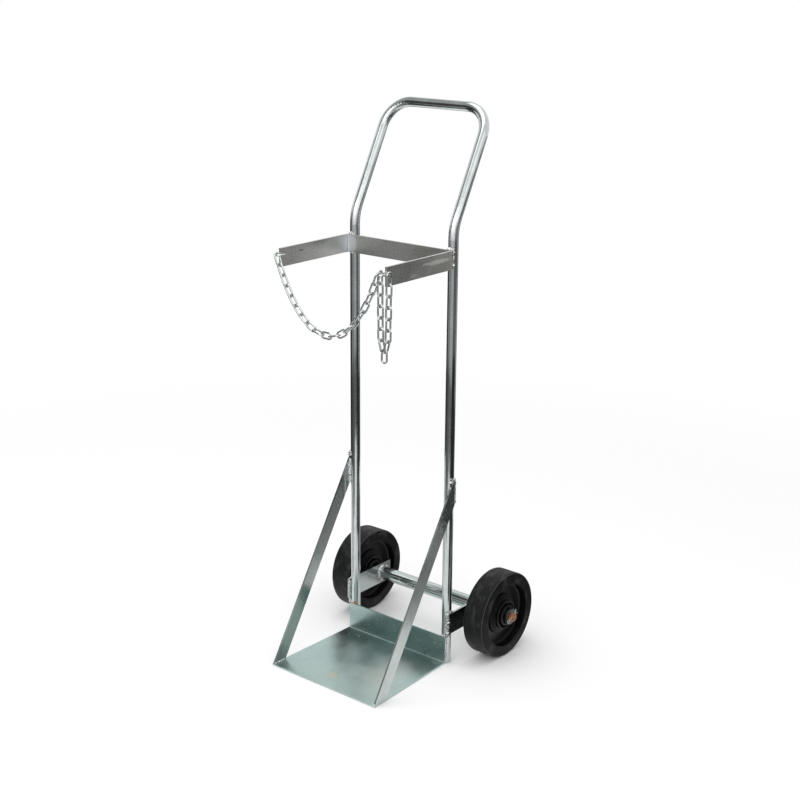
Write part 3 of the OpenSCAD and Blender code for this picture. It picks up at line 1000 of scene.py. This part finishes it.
@dataclass
class Shell:
    """Points and faces of several closed surfaces, gathered for one mesh."""

    points: list[np.ndarray] = field(default_factory=list)
    faces: list[list[int]] = field(default_factory=list)
    count: int = 0

    def add_tube(self, rings: np.ndarray, start: np.ndarray, end: np.ndarray) -> None:
        """Adds a surface of rings that closes to a point at both ends.

        Args:
            rings: points by ring, angle and axis.
            start: the first pole.
            end: the last pole.
        """
        rows, columns, _ = rings.shape
        total = rows * columns
        first = np.arange(columns)
        last = first + (rows - 1) * columns
        self.points += [rings.reshape(-1, 3), start[None], end[None]]
        for block in (grid_faces(rows, columns), cap_faces(first, total)[:, ::-1], cap_faces(last, total + 1)):
            self.faces += (block + self.count).tolist()
        self.count += total + 2

    def add_ring(self, rings: np.ndarray) -> None:
        """Adds a surface of rings that is closed round each ring and from the last ring to the first.

        Args:
            rings: points by ring, angle and axis.
        """
        rows, columns, _ = rings.shape
        total = rows * columns
        self.points.append(rings.reshape(-1, 3))
        self.faces += (grid_faces(rows + 1, columns) % total + self.count).tolist()
        self.count += total

    def build(self, name: str, body: str, slot: str, material: Material) -> bpy.types.Object:
        """Makes the piece, smooth shaded, and lets it ride on its body.

        Args:
            name: the piece's name.
            body: the body that carries it.
            slot: not used.
            material: its finish.

        Returns:
            The new object, at the origin.
        """
        piece = mesh_object(name, np.concatenate(self.points), self.faces, material)
        polygons = piece.data.polygons
        polygons.foreach_set("use_smooth", np.ones(len(polygons), bool))
        piece.data.update()
        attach(piece, body)
        LOG.info("%s: %d faces on %s", name, len(polygons), body)
        return piece


@dataclass(frozen=True)
class Bead:
    """One run of weld along a path.

    Args:
        path: the points that its middle follows.
        radius: half its thickness.
        ripple: depth of the ripples as a share of the radius.
        pitch: length of a ripple.
        wander: unevenness as a share of the radius.
    """

    SPACING = 0.00045  # length between rings
    RINGS = (16, 320)  # fewest and most rings
    SIDES = 14  # points in a ring
    RIPPLE_SIZES = (0.6, 1.35)
    RIPPLE_POWER = 0.8
    TAPER_POWER, TAPER_GROWTH, LEAST_TAPER = 2, 0.6, 0.12
    END = 0.08  # length of the end caps as a share of the radius
    # Unevenness: turns of the wave round the run, radians per metre along it, and its share.
    SWELLS = ((410, 0.5), (950, 0.5))
    LUMPS = ((2, 700, 0.6), (3, -1300, 0.4))
    SWAY = (420, 0.3)

    path: tuple[Point, ...] | np.ndarray
    radius: float
    ripple: float = 0.45
    pitch: float = 0.0046
    wander: float = 0.2

    @classmethod
    def straight(cls, side: Side, start: Point, end: Point, radius: float, **shape: float) -> Bead:
        """A straight run on one side, given by its ends on the right side."""
        return cls(tuple((side.value * x, y, z) for x, y, z in (start, end)), radius, **shape)

    @classmethod
    def upright(cls, side: Side, x: float, y: float, heights: Span, radius: float, **shape: float) -> Bead:
        """A run straight up on one side, given by its place on the right side."""
        return cls.straight(side, (x, y, heights[0]), (x, y, heights[1]), radius, **shape)

    def add_to(self, shell: Shell, rng: np.random.Generator) -> None:
        """Adds the bead's surface: rings about the path, swelling once a ripple and closing at both ends.

        Radius at length s: radius * end taper * (1 - ripple / 2 + ripple * size * |sin(pi s / pitch)| + slow waves
        of s and angle), where size differs from ripple to ripple.

        Args:
            shell: the mesh it goes into.
            rng: source of its unevenness.
        """
        path = np.asarray(self.path, float)
        steps = np.linalg.norm(np.diff(path, axis=0), axis=1)
        along = np.concatenate([[0.0], np.cumsum(steps)])
        length = along[-1]
        at = np.linspace(0.0, length, int(np.clip(length / self.SPACING, *self.RINGS)))
        middle = np.stack([np.interp(at, along, path[:, axis]) for axis in range(3)], axis=1)
        tangent = unit(np.gradient(middle, axis=0))
        across, up = side_axes(tangent)
        angle = round_angles(self.SIDES)
        phase = rng.uniform(0, FULL_TURN, 6)
        power = self.TAPER_POWER + length / self.radius * self.TAPER_GROWTH
        taper = np.clip(1 - np.abs(2 * at / length - 1) ** power, 0.0, 1.0) ** 0.5
        turns = at / self.pitch + phase[0] / np.pi
        size = rng.uniform(*self.RIPPLE_SIZES, int(turns[-1]) + 2)[turns.astype(int)]
        swell = 1 - self.ripple / 2 + self.ripple * size * np.abs(np.sin(np.pi * turns)) ** self.RIPPLE_POWER
        for (rate, share), shift in zip(self.SWELLS, phase[1:3]):
            swell = swell + self.wander * share * np.sin(at * rate + shift)
        uneven = swell[:, None]
        for (round_about, rate, share), shift in zip(self.LUMPS, phase[3:5]):
            uneven = uneven + self.wander * share * np.sin(round_about * angle[None] + at[:, None] * rate + shift)
        reach = self.radius * np.maximum(taper, self.LEAST_TAPER)[:, None] * uneven
        rate, share = self.SWAY
        middle = middle + across * (self.radius * share * np.sin(at * rate + phase[5]))[:, None]
        ring = np.cos(angle)[None, :, None] * across[:, None] + np.sin(angle)[None, :, None] * up[:, None]
        cap = tangent * self.radius * self.END
        shell.add_tube(middle[:, None] + reach[..., None] * ring, middle[0] - cap[0], middle[-1] + cap[-1])


@dataclass(frozen=True)
class Spatter:
    """Drops of weld metal scattered on a flat face.

    Args:
        centre: middle of the scattered patch.
        spread: standard deviation along X, Y and Z, 0 across the face.
        normal: direction out of the face.
        count: drops.
        radius: least and most radius of a drop.
    """

    FARTHEST = 1.8  # in standard deviations
    LATITUDES = np.linspace(-0.4, 0.46, 5) * np.pi
    SIDES = 8
    FLATNESS = 0.75
    POLES = (0.74, 0.76)

    centre: Point
    spread: Point
    normal: Point
    count: int
    radius: Span = (0.0006, 0.0014)

    def add_to(self, shell: Shell, rng: np.random.Generator) -> None:
        """Adds the drops: low domes, each a small grid of latitude and longitude, half sunk in the face.

        Args:
            shell: the mesh they go into.
            rng: source of their places and sizes.
        """
        normal = np.asarray(self.normal, float)
        across, up = side_axes(normal)
        scatter = np.clip(rng.normal(size=(self.count, 3)), -self.FARTHEST, self.FARTHEST)
        spots = np.asarray(self.centre) + scatter * np.asarray(self.spread)
        sizes = rng.uniform(*self.radius, self.count)
        angle = round_angles(self.SIDES)[None, :, None]
        latitude = self.LATITUDES[:, None, None]
        flat = np.cos(latitude) * (np.cos(angle) * across + np.sin(angle) * up)
        dome = flat + np.sin(latitude) * normal * self.FLATNESS
        below, above = self.POLES
        for spot, size in zip(spots, sizes):
            shell.add_tube(spot + dome * size, spot - normal * size * below, spot + normal * size * above)


def rounded(corners: Sequence[Span], radius: float, steps: int = 4) -> np.ndarray:
    """A closed outline with each corner cut to a short arc, and flats held flat beside it.

    Args:
        corners: the outline's corners in order.
        radius: length cut off each side of a corner, less where the sides are short.
        steps: points in an arc.

    Returns:
        The points of the outline, two coordinates each.
    """
    longest_cut, hold = 0.35, 1.3  # as shares of a side's length and of the cut
    points = np.asarray(corners, float)
    out = []
    share = np.linspace(0.0, 1.0, steps)[:, None]
    for before, here, after in zip(np.roll(points, 1, axis=0), points, np.roll(points, -1, axis=0)):
        back, ahead = before - here, after - here
        long_back, long_ahead = np.linalg.norm(back), np.linalg.norm(ahead)
        cut = min(radius, longest_cut * long_back, longest_cut * long_ahead)
        back, ahead = back / long_back * cut, ahead / long_ahead * cut
        curve = (1 - share) ** 2 * (here + back) + 2 * share * (1 - share) * here + share**2 * (here + ahead)
        out += [here + back * hold, *curve, here + ahead * hold]
    return np.array(out)


@dataclass(frozen=True)
class WheelCentre:
    """The moulded centre of a wheel: a wide dish on both faces, a flat web and a grooved hub that rises in steps.

    Args:
        side: which wheel it is for.
        place: X of the tyre's middle, and Y and Z of the wheel axis.
        bore: radius of the hole for the bush.
        nose: length of the hub's outer and inner end from the tyre's middle.
        nose_r: radius of the hub's ends.
        outline: radius and height from the tyre's middle of each corner from the hub's end to the rim.
        edge: rounding of the edges.
        sides: points round the wheel axis.
    """

    side: Side
    place: Point = (0.199, 0.2546, 0.1)
    bore: float = 0.01305
    nose: Span = (0.0348, 0.0432)
    nose_r: float = 0.02
    outline: tuple[Span, ...] = (
        (0.0205, 0.0275),
        (0.0232, 0.027),
        (0.0242, 0.026),
        (0.0245, 0.015),
        (0.0295, 0.015),
        (0.0298, 0.0233),
        (0.0318, 0.0243),
        (0.0344, 0.0226),
        (0.0347, 0.0165),
        (0.0385, 0.0165),
        (0.0389, 0.0138),
        (0.0425, 0.0138),
        (0.0429, 0.0114),
        (0.0465, 0.0114),
        (0.047, 0.0055),
        (0.0675, 0.0055),
        (0.0685, 0.0092),
        (0.0697, 0.0104),
        (0.0718, 0.011),
        (0.0744, 0.0269),
        (0.076, 0.0269),
    )
    edge: float = 0.0009
    sides: int = 96

    def half(self, nose: float) -> list[Span]:
        """Corners of one face, from the bore to the rim, by distance from the tyre's middle and radius."""
        return [(nose, self.bore), (nose, self.nose_r), *((height, radius) for radius, height in self.outline)]

    def build(self, material: Material) -> bpy.types.Object:
        """Builds the piece by turning the outline about the wheel axis.

        Args:
            material: its finish.

        Returns:
            The piece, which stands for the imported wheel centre.
        """
        out, back = map(self.half, self.nose)
        outline = rounded([*out, *((-a, r) for a, r in reversed(back))], self.edge)
        x, y, z = self.place
        turn = self.side.value * round_angles(self.sides)
        rings = np.stack(
            [
                np.repeat(self.side.value * (x + outline[:, :1]), turn.size, axis=1),
                y + outline[:, 1:] * np.cos(turn),
                z + outline[:, 1:] * np.sin(turn),
            ],
            axis=2,
        )
        label = self.side.label
        shell = Shell()
        shell.add_ring(rings)
        piece = shell.build(f"moulded_centre_{label}", f"wheel_{label}", "wheel_plastic", material)
        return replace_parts(piece, f"wheel_centre_{label}")


@dataclass
class TrolleyFrame:
    """The welded frame: bent tube, toe plate, braces, strap, brackets and axle tube.

    Args:
        upright_x: distance of the uprights from the middle.
        upright_y: their axis from front to back.
        tube_r: the tube's outside radius.
        outer_x: outer side of the tubes, and inner face of braces and brackets.
        groove_y: Y of the grooves between a tube's front and a flat face.
        groove_in: distance of the inner groove from an upright's axis.
        brace_t: thickness of the braces.
        strap_t: thickness of the strap.
        strap_z: lower and upper edge of the strap.
        brace_top: Y of the brace's end, and Z of its lower and upper corner.
        brace_rise: slope of the brace.
        brace_foot: Y of the brace's foot, from front to back.
        bracket_z: lower and upper edge of the brackets.
        bracket_run: radius, ripple and wander of the run in front of each bracket.
        plate_t: the toe plate's thickness.
        upstand_y: front of the upstand.
        upstand_z: top of the upstand.
        axle: Y and Z of the wheel axis.
        axle_tube_r: the axle tube's outside radius.
        peg: Y, Z and radius of the chain peg.
    """

    upright_x: float = 0.1364
    upright_y: float = 0.1411
    tube_r: float = 0.0111
    outer_x: float = 0.1475
    groove_y: float = 0.1312
    groove_in: float = 0.0074
    brace_t: float = 0.004
    strap_t: float = 0.005
    strap_z: Span = (0.918, 0.958)
    brace_top: Point = (0.1431, 0.3864, 0.4473)
    brace_rise: float = 1.6267
    brace_foot: Span = (-0.13, -0.0924)
    bracket_z: Span = (0.075, 0.125)
    bracket_run: dict[Side, Point] = field(
        default_factory=lambda: {Side.LEFT: (0.0029, 0.15, 0.12), Side.RIGHT: (0.0039, 0.75, 0.34)}
    )
    plate_t: float = 0.003
    upstand_y: float = 0.127
    upstand_z: float = 0.066
    axle: Span = (0.2546, 0.1)
    axle_tube_r: float = 0.016
    peg: Point = (-0.094, 0.943, 0.004)

    def round_front(self, side: Side, z: float, low: float, high: float) -> np.ndarray:
        """Points round an upright's front at one height, on a circle about its axis.

        Args:
            side: which upright.
            z: height.
            low: first angle in degrees, 0 at the front and positive outwards.
            high: last angle.

        Returns:
            The points in order.
        """
        angle = np.radians(np.linspace(low, high, 24))
        x = side.value * (self.upright_x + self.tube_r * np.sin(angle))
        return np.stack([x, self.upright_y - self.tube_r * np.cos(angle), np.full_like(angle, z)], axis=1)

    def strap_beads(self, side: Side) -> list[Bead]:
        """Runs that hold the strap's back to an upright: both grooves, and over its upper and lower edge.

        Args:
            side: which upright.

        Returns:
            The runs.
        """
        low, high = self.strap_z
        outer, outer_y, inner = self.upright_x + 0.0085, 0.1305, self.upright_x - self.groove_in
        return [
            Bead.upright(side, outer, outer_y, (low + 0.001, high), 0.0027, ripple=0.12, wander=0.1),
            Bead.upright(side, inner, self.groove_y, (low + 0.002, high - 0.002), 0.0025),
            Bead(self.round_front(side, high + 0.0005, -42, 52), 0.0034, wander=0.3),
            Bead(self.round_front(side, low - 0.0003, -38, 48), 0.0024, wander=0.3),
        ]

    def brace_beads(self, side: Side) -> list[Bead]:
        """Runs that hold a brace's top to an upright and its foot to the toe plate.

        Args:
            side: which brace.

        Returns:
            The runs: three at the top, and three at the foot.
        """
        end_y, low, high = self.brace_top
        behind, under_y = end_y + 0.0012, 0.1332
        drop = (end_y - under_y) * self.brace_rise
        front, back = self.brace_foot
        inner, edge = self.outer_x - 0.0004, self.outer_x + self.brace_t
        under, over = self.outer_x - 0.0013, self.outer_x + 0.0013
        blob = (under - 0.0025, self.groove_y, high - 0.011), (under, 0.1385, high + 0.002)
        toe = (inner, front + 0.0005, 0.0046), (edge - 0.0004, front + 0.0003, 0.0042)
        foot_z = 0.0036
        heel = (inner, back, foot_z), (edge - 0.0007, back + 0.0003, foot_z)
        return [
            Bead.upright(side, over, behind, (low - 0.002, high + 0.001), 0.0031),
            Bead.straight(side, *blob, 0.0052, wander=0.3),
            Bead.upright(side, under, under_y, (low - drop, high - drop), 0.0033),
            Bead.straight(side, (inner, front + 0.002, foot_z), (inner, back - 0.001, foot_z), 0.0019),
            Bead.straight(side, *toe, 0.0026, wander=0.35),
            Bead.straight(side, *heel, 0.0018),
        ]

    def bracket_beads(self, side: Side) -> list[Bead]:
        """Runs that hold an axle bracket to an upright, and the ring that holds the axle tube to it.

        Args:
            side: which bracket.

        Returns:
            The runs: in front, behind and on top, and the ring.
        """
        low, high = self.bracket_z
        front, behind, behind_y = self.outer_x - 0.0008, self.outer_x - 0.0015, 0.1494
        radius, ripple, wander = self.bracket_run[side]
        top = (front + 0.001, 0.1325, high), (front + 0.001, 0.1497, high)
        axle_y, axle_z = self.axle
        angle = np.linspace(-0.5 * np.pi, 1.62 * np.pi, 90)
        reach = self.axle_tube_r + 0.0006
        x = np.full_like(angle, side.value * (self.outer_x - 0.0012))
        ring = np.stack([x, axle_y + reach * np.cos(angle), axle_z + reach * np.sin(angle)], axis=1)
        heights = (self.upstand_z - 0.001, high + 0.002)
        return [
            Bead.upright(side, front, self.groove_y, heights, radius, ripple=ripple, pitch=0.0062, wander=wander),
            Bead.upright(side, behind, behind_y, (low + 0.001, high - 0.001), 0.0027),
            Bead.straight(side, *top, 0.0024),
            Bead(ring, 0.0037, ripple=0.2, wander=0.14),
        ]

    def upstand_beads(self, side: Side) -> list[Bead]:
        """Runs that hold the upstand's back to the foot of an upright.

        Args:
            side: which upright.

        Returns:
            The runs in both grooves and over the upstand's edge.
        """
        heights = (0.006, self.upstand_z - 0.001)
        places = (self.upright_x - self.groove_in, self.upright_x + 0.0066)
        return [
            *(Bead.upright(side, x, self.groove_y, heights, 0.0022) for x in places),
            Bead(self.round_front(side, self.upstand_z + 0.0004, -40, 50), 0.0027, wander=0.32),
        ]

    def peg_beads(self) -> list[Bead]:
        """Two short runs that hold the chain peg to the end of the right arm.

        Returns:
            The runs below and above the peg.
        """
        y, z, r = self.peg
        back, reach = y + r - 0.0008, r - 0.0006
        inner, outer = self.outer_x - self.strap_t, self.outer_x
        heights = (z + sign * reach for sign in (-1, 1))
        return [Bead.straight(Side.RIGHT, (inner, back, h), (outer, back, h), 0.0018) for h in heights]

    def spatter(self) -> list[Spatter]:
        """Drops of weld metal near the runs on the toe plate, its upstand and the braces.

        Returns:
            The patches of drops.
        """
        up, front, right = (0.0, 0.0, 1.0), (0.0, -1.0, 0.0), (1.0, 0.0, 0.0)
        t, y = self.plate_t, self.upstand_y
        return [
            Spatter((-0.118, 0.106, t), (0.014, 0.01, 0.0), up, 9),
            Spatter((0.128, 0.112, t), (0.009, 0.009, 0.0), up, 10),
            Spatter((-0.132, -0.105, t), (0.006, 0.012, 0.0), up, 5),
            Spatter((0.128, y, 0.034), (0.008, 0.0, 0.014), front, 9),
            Spatter((-0.112, y, 0.032), (0.016, 0.0, 0.012), front, 6),
            Spatter((-0.03, y, 0.04), (0.03, 0.0, 0.01), front, 4),
            Spatter((self.outer_x + self.brace_t, 0.112, 0.39), (0.0, 0.009, 0.014), right, 7),
            Spatter((-self.outer_x, 0.088, 0.33), (0.0, 0.006, 0.012), right, 4),
        ]

    def build(self, weld: Material) -> None:
        """Builds the weld runs and spatter as pieces of the frame.

        Args:
            weld: the weld's finish.
        """
        rng = np.random.default_rng(SEED)
        joints = {
            "strap": self.strap_beads,
            "brace": self.brace_beads,
            "bracket": self.bracket_beads,
            "upstand": self.upstand_beads,
        }
        pieces = {f"{name}_{side.label}": beads(side) for name, beads in joints.items() for side in Side}
        pieces |= {"peg": self.peg_beads(), "spatter": self.spatter()}
        for name, parts in pieces.items():
            shell = Shell()
            for part in parts:
                part.add_to(shell, rng)
            shell.build(f"weld_{name}", TROLLEY, "zinc", weld)


def aimed(place: Point, aim: Point) -> Matrix:
    """The matrix of a camera or lamp at a place that faces a point."""
    turn = (Vector(aim) - Vector(place)).to_track_quat("-Z", "Y").to_matrix().to_4x4()
    return Matrix.Translation(place) @ turn


ON_FLOOR: Span = (0.003, 0.003)


@dataclass
class Studio:
    """Pale floor, soft light, dark cards for the metal to reflect, and the photograph's camera.

    Args:
        eye: the camera's place.
        target: the point it looks at.
        roll: its roll in degrees.
        lens: focal length in millimetres.
        frame: width of the frame in millimetres.
        shift: shift of the frame, as shares of its width.
        clip: farthest distance that the camera sees.
        floor_z: height of the floor.
        floor_radii: radii of the floor's rings.
        floor_sides: points in a ring.
        floor_grey: the floor's grey.
        lit_r: radii between which the floor turns from lit to plain white.
        ambient: strength of the world for soft light.
        middle: the point that the cards stand round.
        cards: name, radii, end angles, heights and grey of each card.
        lamps: name, place, aim, size and power in watts of each soft box.
    """

    eye: Point = (1.934, -2.2439, 1.553)
    target: Point = (0.0, 0.1011, 0.6)
    roll: float = 0.3
    lens: float = 64.89
    frame: float = 36.0
    shift: Span = (0.01226, 0.0045)
    clip: float = 300.0
    floor_z: float = -0.0006
    floor_radii: tuple[float, ...] = (0.5, 1.0, 2.0, 4.0, 10.0, 30.0, 70.0)
    floor_sides: int = 64
    floor_grey: float = 0.9
    lit_r: Span = (0.9, 2.6)
    ambient: float = 0.86
    middle: Point = (0.0, 0.1, 0.0)
    cards: tuple[tuple[str, Span, Span, Span, float], ...] = (
        ("card_right_low", (0.95, 0.95), (-22.0, 49.0), (0.0, 0.5), 0.03),
        ("card_right", (0.95, 0.95), (-22.0, 49.0), (0.5, 1.15), 0.15),
        ("card_right_back_low", (0.95, 0.95), (49.0, 58.0), (0.0, 0.32), 0.03),
        ("card_right_floor", (0.45, 0.95), (-22.0, 2.0), ON_FLOOR, 0.05),
        ("card_right_floor_far", (0.82, 0.95), (2.0, 58.0), ON_FLOOR, 0.09),
        ("card_right_floor_middle", (0.66, 0.82), (2.0, 58.0), ON_FLOOR, 0.19),
        ("card_right_floor_near", (0.48, 0.66), (2.0, 58.0), ON_FLOOR, 0.28),
        ("card_right_floor_inner", (0.36, 0.48), (2.0, 58.0), ON_FLOOR, 0.48),
        ("card_back_floor", (0.27, 0.95), (58.0, 110.0), ON_FLOOR, 0.3),
        ("card_back_right_low", (1.15, 1.15), (49.0, 105.0), (0.0, 0.3), 0.15),
        ("card_back_right", (1.15, 1.15), (47.0, 62.0), (0.3, 1.0), 0.85),
        ("card_back_right_dark", (1.15, 1.15), (62.0, 105.0), (0.3, 1.0), 0.2),
        ("card_back", (1.3, 1.3), (105.0, 150.0), (0.0, 0.3), 0.25),
        ("card_left", (1.25, 1.25), (150.0, 222.0), (0.0, 1.05), 0.04),
        ("card_front_left_low", (1.3, 1.3), (222.0, 258.0), (0.0, 0.3), 0.1),
        ("card_front_left", (1.3, 1.3), (222.0, 242.0), (0.3, 0.9), 0.34),
        ("card_front_near_left", (1.3, 1.3), (242.0, 268.0), (0.3, 0.9), 0.22),
        ("card_front_left_high", (1.3, 1.3), (205.0, 243.0), (0.9, 1.95), 0.07),
        ("card_high_left", (1.3, 1.3), (140.0, 243.0), (1.95, 3.6), 0.45),
        ("card_front_floor_far", (1.05, 1.3), (212.0, 288.0), ON_FLOOR, 0.15),
        ("card_front_floor_middle", (0.86, 1.05), (212.0, 288.0), ON_FLOOR, 0.3),
        ("card_front_floor_near", (0.68, 0.86), (212.0, 286.0), ON_FLOOR, 0.42),
        ("card_front_floor_inner", (0.34, 0.68), (195.0, 245.0), ON_FLOOR, 0.66),
        ("card_front_low", (1.3, 1.3), (258.0, 338.0), (0.0, 0.3), 0.15),
        ("card_front", (1.3, 1.3), (268.0, 338.0), (0.3, 0.8), 0.48),
    )
    lamps: tuple[tuple[str, Point, Point, Span, float], ...] = (
        ("top_box", (-0.4, -0.3, 3.4), (0.0, 0.1, 0.6), (2.8, 2.8), 34.0),
        ("key_box", (0.5, -3.1, 2.7), (0.0, 0.1, 0.9), (3.2, 1.6), 26.0),
        ("fill_box", (3.0, -1.2, 2.6), (0.0, 0.1, 0.9), (2.0, 1.6), 5.0),
    )

    def camera(self) -> None:
        """Makes the camera at the photograph's place and aim."""
        data = bpy.data.cameras.new("camera")
        data.lens = self.lens
        data.sensor_width = self.frame
        data.shift_x, data.shift_y = self.shift
        data.clip_end = self.clip
        camera = bpy.data.objects.new("camera", data)
        camera.matrix_world = aimed(self.eye, self.target) @ Matrix.Rotation(math.radians(self.roll), 4, "Z")
        bpy.context.scene.collection.objects.link(camera)
        bpy.context.scene.camera = camera

    @staticmethod
    def seen(graph: Graph) -> Socket:
        """1 for rays that the camera, a reflection or glass sees, 0 for light that falls on things.

        Args:
            graph: the graph that asks.

        Returns:
            The value.
        """
        path = graph.add("ShaderNodeLightPath").outputs
        some = graph.math("MAXIMUM", path["Is Camera Ray"], path["Is Glossy Ray"])
        return graph.math("MAXIMUM", some, path["Is Transmission Ray"])

    def world(self) -> None:
        """White where it is seen, and a soft even light where it falls on things."""
        world = bpy.data.worlds.new("studio")
        bpy.context.scene.world = world
        world.use_nodes = True
        graph = Graph(world.node_tree)
        strength = graph.scale_to(self.seen(graph), self.ambient, 1.0)
        graph.join(world.node_tree.nodes["Background"], {"Color": rgba(WHITE), "Strength": strength})

    @staticmethod
    def glow(g: Graph, colour: Colour) -> Socket:
        """A surface that shows its plain colour in any light."""
        return g.add("ShaderNodeEmission", {"Color": rgba(colour), "Strength": 1.0}).outputs[0]

    def floor_white(self) -> Material:
        """The floor's finish: matt and pale near the trolley, plain white further out.

        Returns:
            The material.
        """
        material, g, shader, at = new_material("floor_white")
        g.join(shader, {"Base Color": rgba((self.floor_grey,) * 3), "Roughness": 1.0, "Specular IOR Level": 0.0})
        factor = g.times(g.ease(g.length(at), *self.lit_r), self.seen(g))
        mixed = g.add("ShaderNodeMixShader", {0: factor, 1: shader.outputs[0], 2: self.glow(g, WHITE)}).outputs[0]
        g.join(material.node_tree.nodes["Material Output"], {"Surface": mixed})
        return material

    def floor(self) -> None:
        """A round pale floor: rings of points about its middle, lit and shadowed near the trolley."""
        angle = round_angles(self.floor_sides)
        ring = np.stack([np.cos(angle), np.sin(angle), np.zeros_like(angle)], axis=1)
        rings = np.array(self.floor_radii)[:, None, None] * ring
        points = np.concatenate([rings.reshape(-1, 3), [[0.0, 0.0, 0.0]]])
        points[:, 2] = self.floor_z
        faces = grid_faces(len(self.floor_radii), self.floor_sides)[:, ::-1].tolist()
        faces += cap_faces(np.arange(self.floor_sides), len(points) - 1).tolist()
        floor = mesh_object("floor", points, faces, self.floor_white())

    def card(self, name: str, radii: Span, angles: Span, heights: Span, grey: float) -> None:
        """A curved dark card that only reflections see, which gives bright metal its dark bands.

        Args:
            name: its name.
            radii: distance of its first and second edge from the trolley's middle.
            angles: its ends in degrees about Z, from +X.
            heights: heights of its first and second edge.
            grey: its grey.
        """
        count = 40
        turn = np.radians(np.linspace(*angles, count))
        ring = np.stack([np.cos(turn), np.sin(turn), np.zeros_like(turn)], axis=1)
        points = np.concatenate([np.array(self.middle) + r * ring + [0, 0, z] for r, z in zip(radii, heights)])
        first = np.arange(count - 1)
        faces = np.stack([first, first + 1, first + 1 + count, first + count], axis=1)
        material, g, _, _ = new_material(name)
        g.join(material.node_tree.nodes["Material Output"], {"Surface": self.glow(g, (grey, grey, grey))})
        card = mesh_object(name, points, faces.tolist(), material)
        card.visible_camera = False
        card.visible_diffuse = False
        card.visible_shadow = False

    @staticmethod
    def lamp(name: str, place: Point, aim: Point, size: Span, power: float) -> None:
        """A soft box.

        Args:
            name: its name.
            place: where it hangs.
            aim: the point it faces.
            size: width and height.
            power: power in watts.
        """
        data = bpy.data.lights.new(name, "AREA")
        data.shape = "RECTANGLE"
        data.size, data.size_y = size
        data.energy = power
        lamp = bpy.data.objects.new(name, data)
        lamp.matrix_world = aimed(place, aim)
        bpy.context.scene.collection.objects.link(lamp)

    def build(self) -> None:
        """Sets up the camera, world, floor, cards and lamps."""
        bpy.context.scene.view_settings.view_transform = "Standard"
        self.camera()
        self.world()
        self.floor()
        for card in self.cards:
            self.card(*card)
        for lamp in self.lamps:
            self.lamp(*lamp)


def dress(nodes: dict[str, bpy.types.Object], materials: dict[Finish, Material]) -> None:
    """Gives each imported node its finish.

    Args:
        nodes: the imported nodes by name.
        materials: the finished materials.
    """
    pairs = {f"{name}_{side.label}": finish for name, finish in PAIRED_NODES.items() for side in Side}
    for name, finish in (SINGLE_NODES | pairs).items():
        node = nodes[name]
        if not node.material_slots:
            node.data.materials.append(materials[finish])
        for slot in node.material_slots:
            slot.material = materials[finish]
        LOG.info("%s: %s", name, finish.value)


def main() -> None:
    """Loads the frame, sets up the studio, dresses the nodes, and adds the weld runs and wheel centres."""
    logging.basicConfig(level=logging.INFO, format="%(name)s: %(message)s")
    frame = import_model()
    Studio().build()
    effects = Effects()
    materials = {finish: recipe.build(finish.value, effects) for finish, recipe in finishes().items()}
    dress(frame["nodes"], materials)
    TrolleyFrame().build(materials[Finish.WELD])
    for side in Side:
        WheelCentre(side).build(materials[Finish.WHEEL_PLASTIC])


if __name__ == "__main__":
    main()
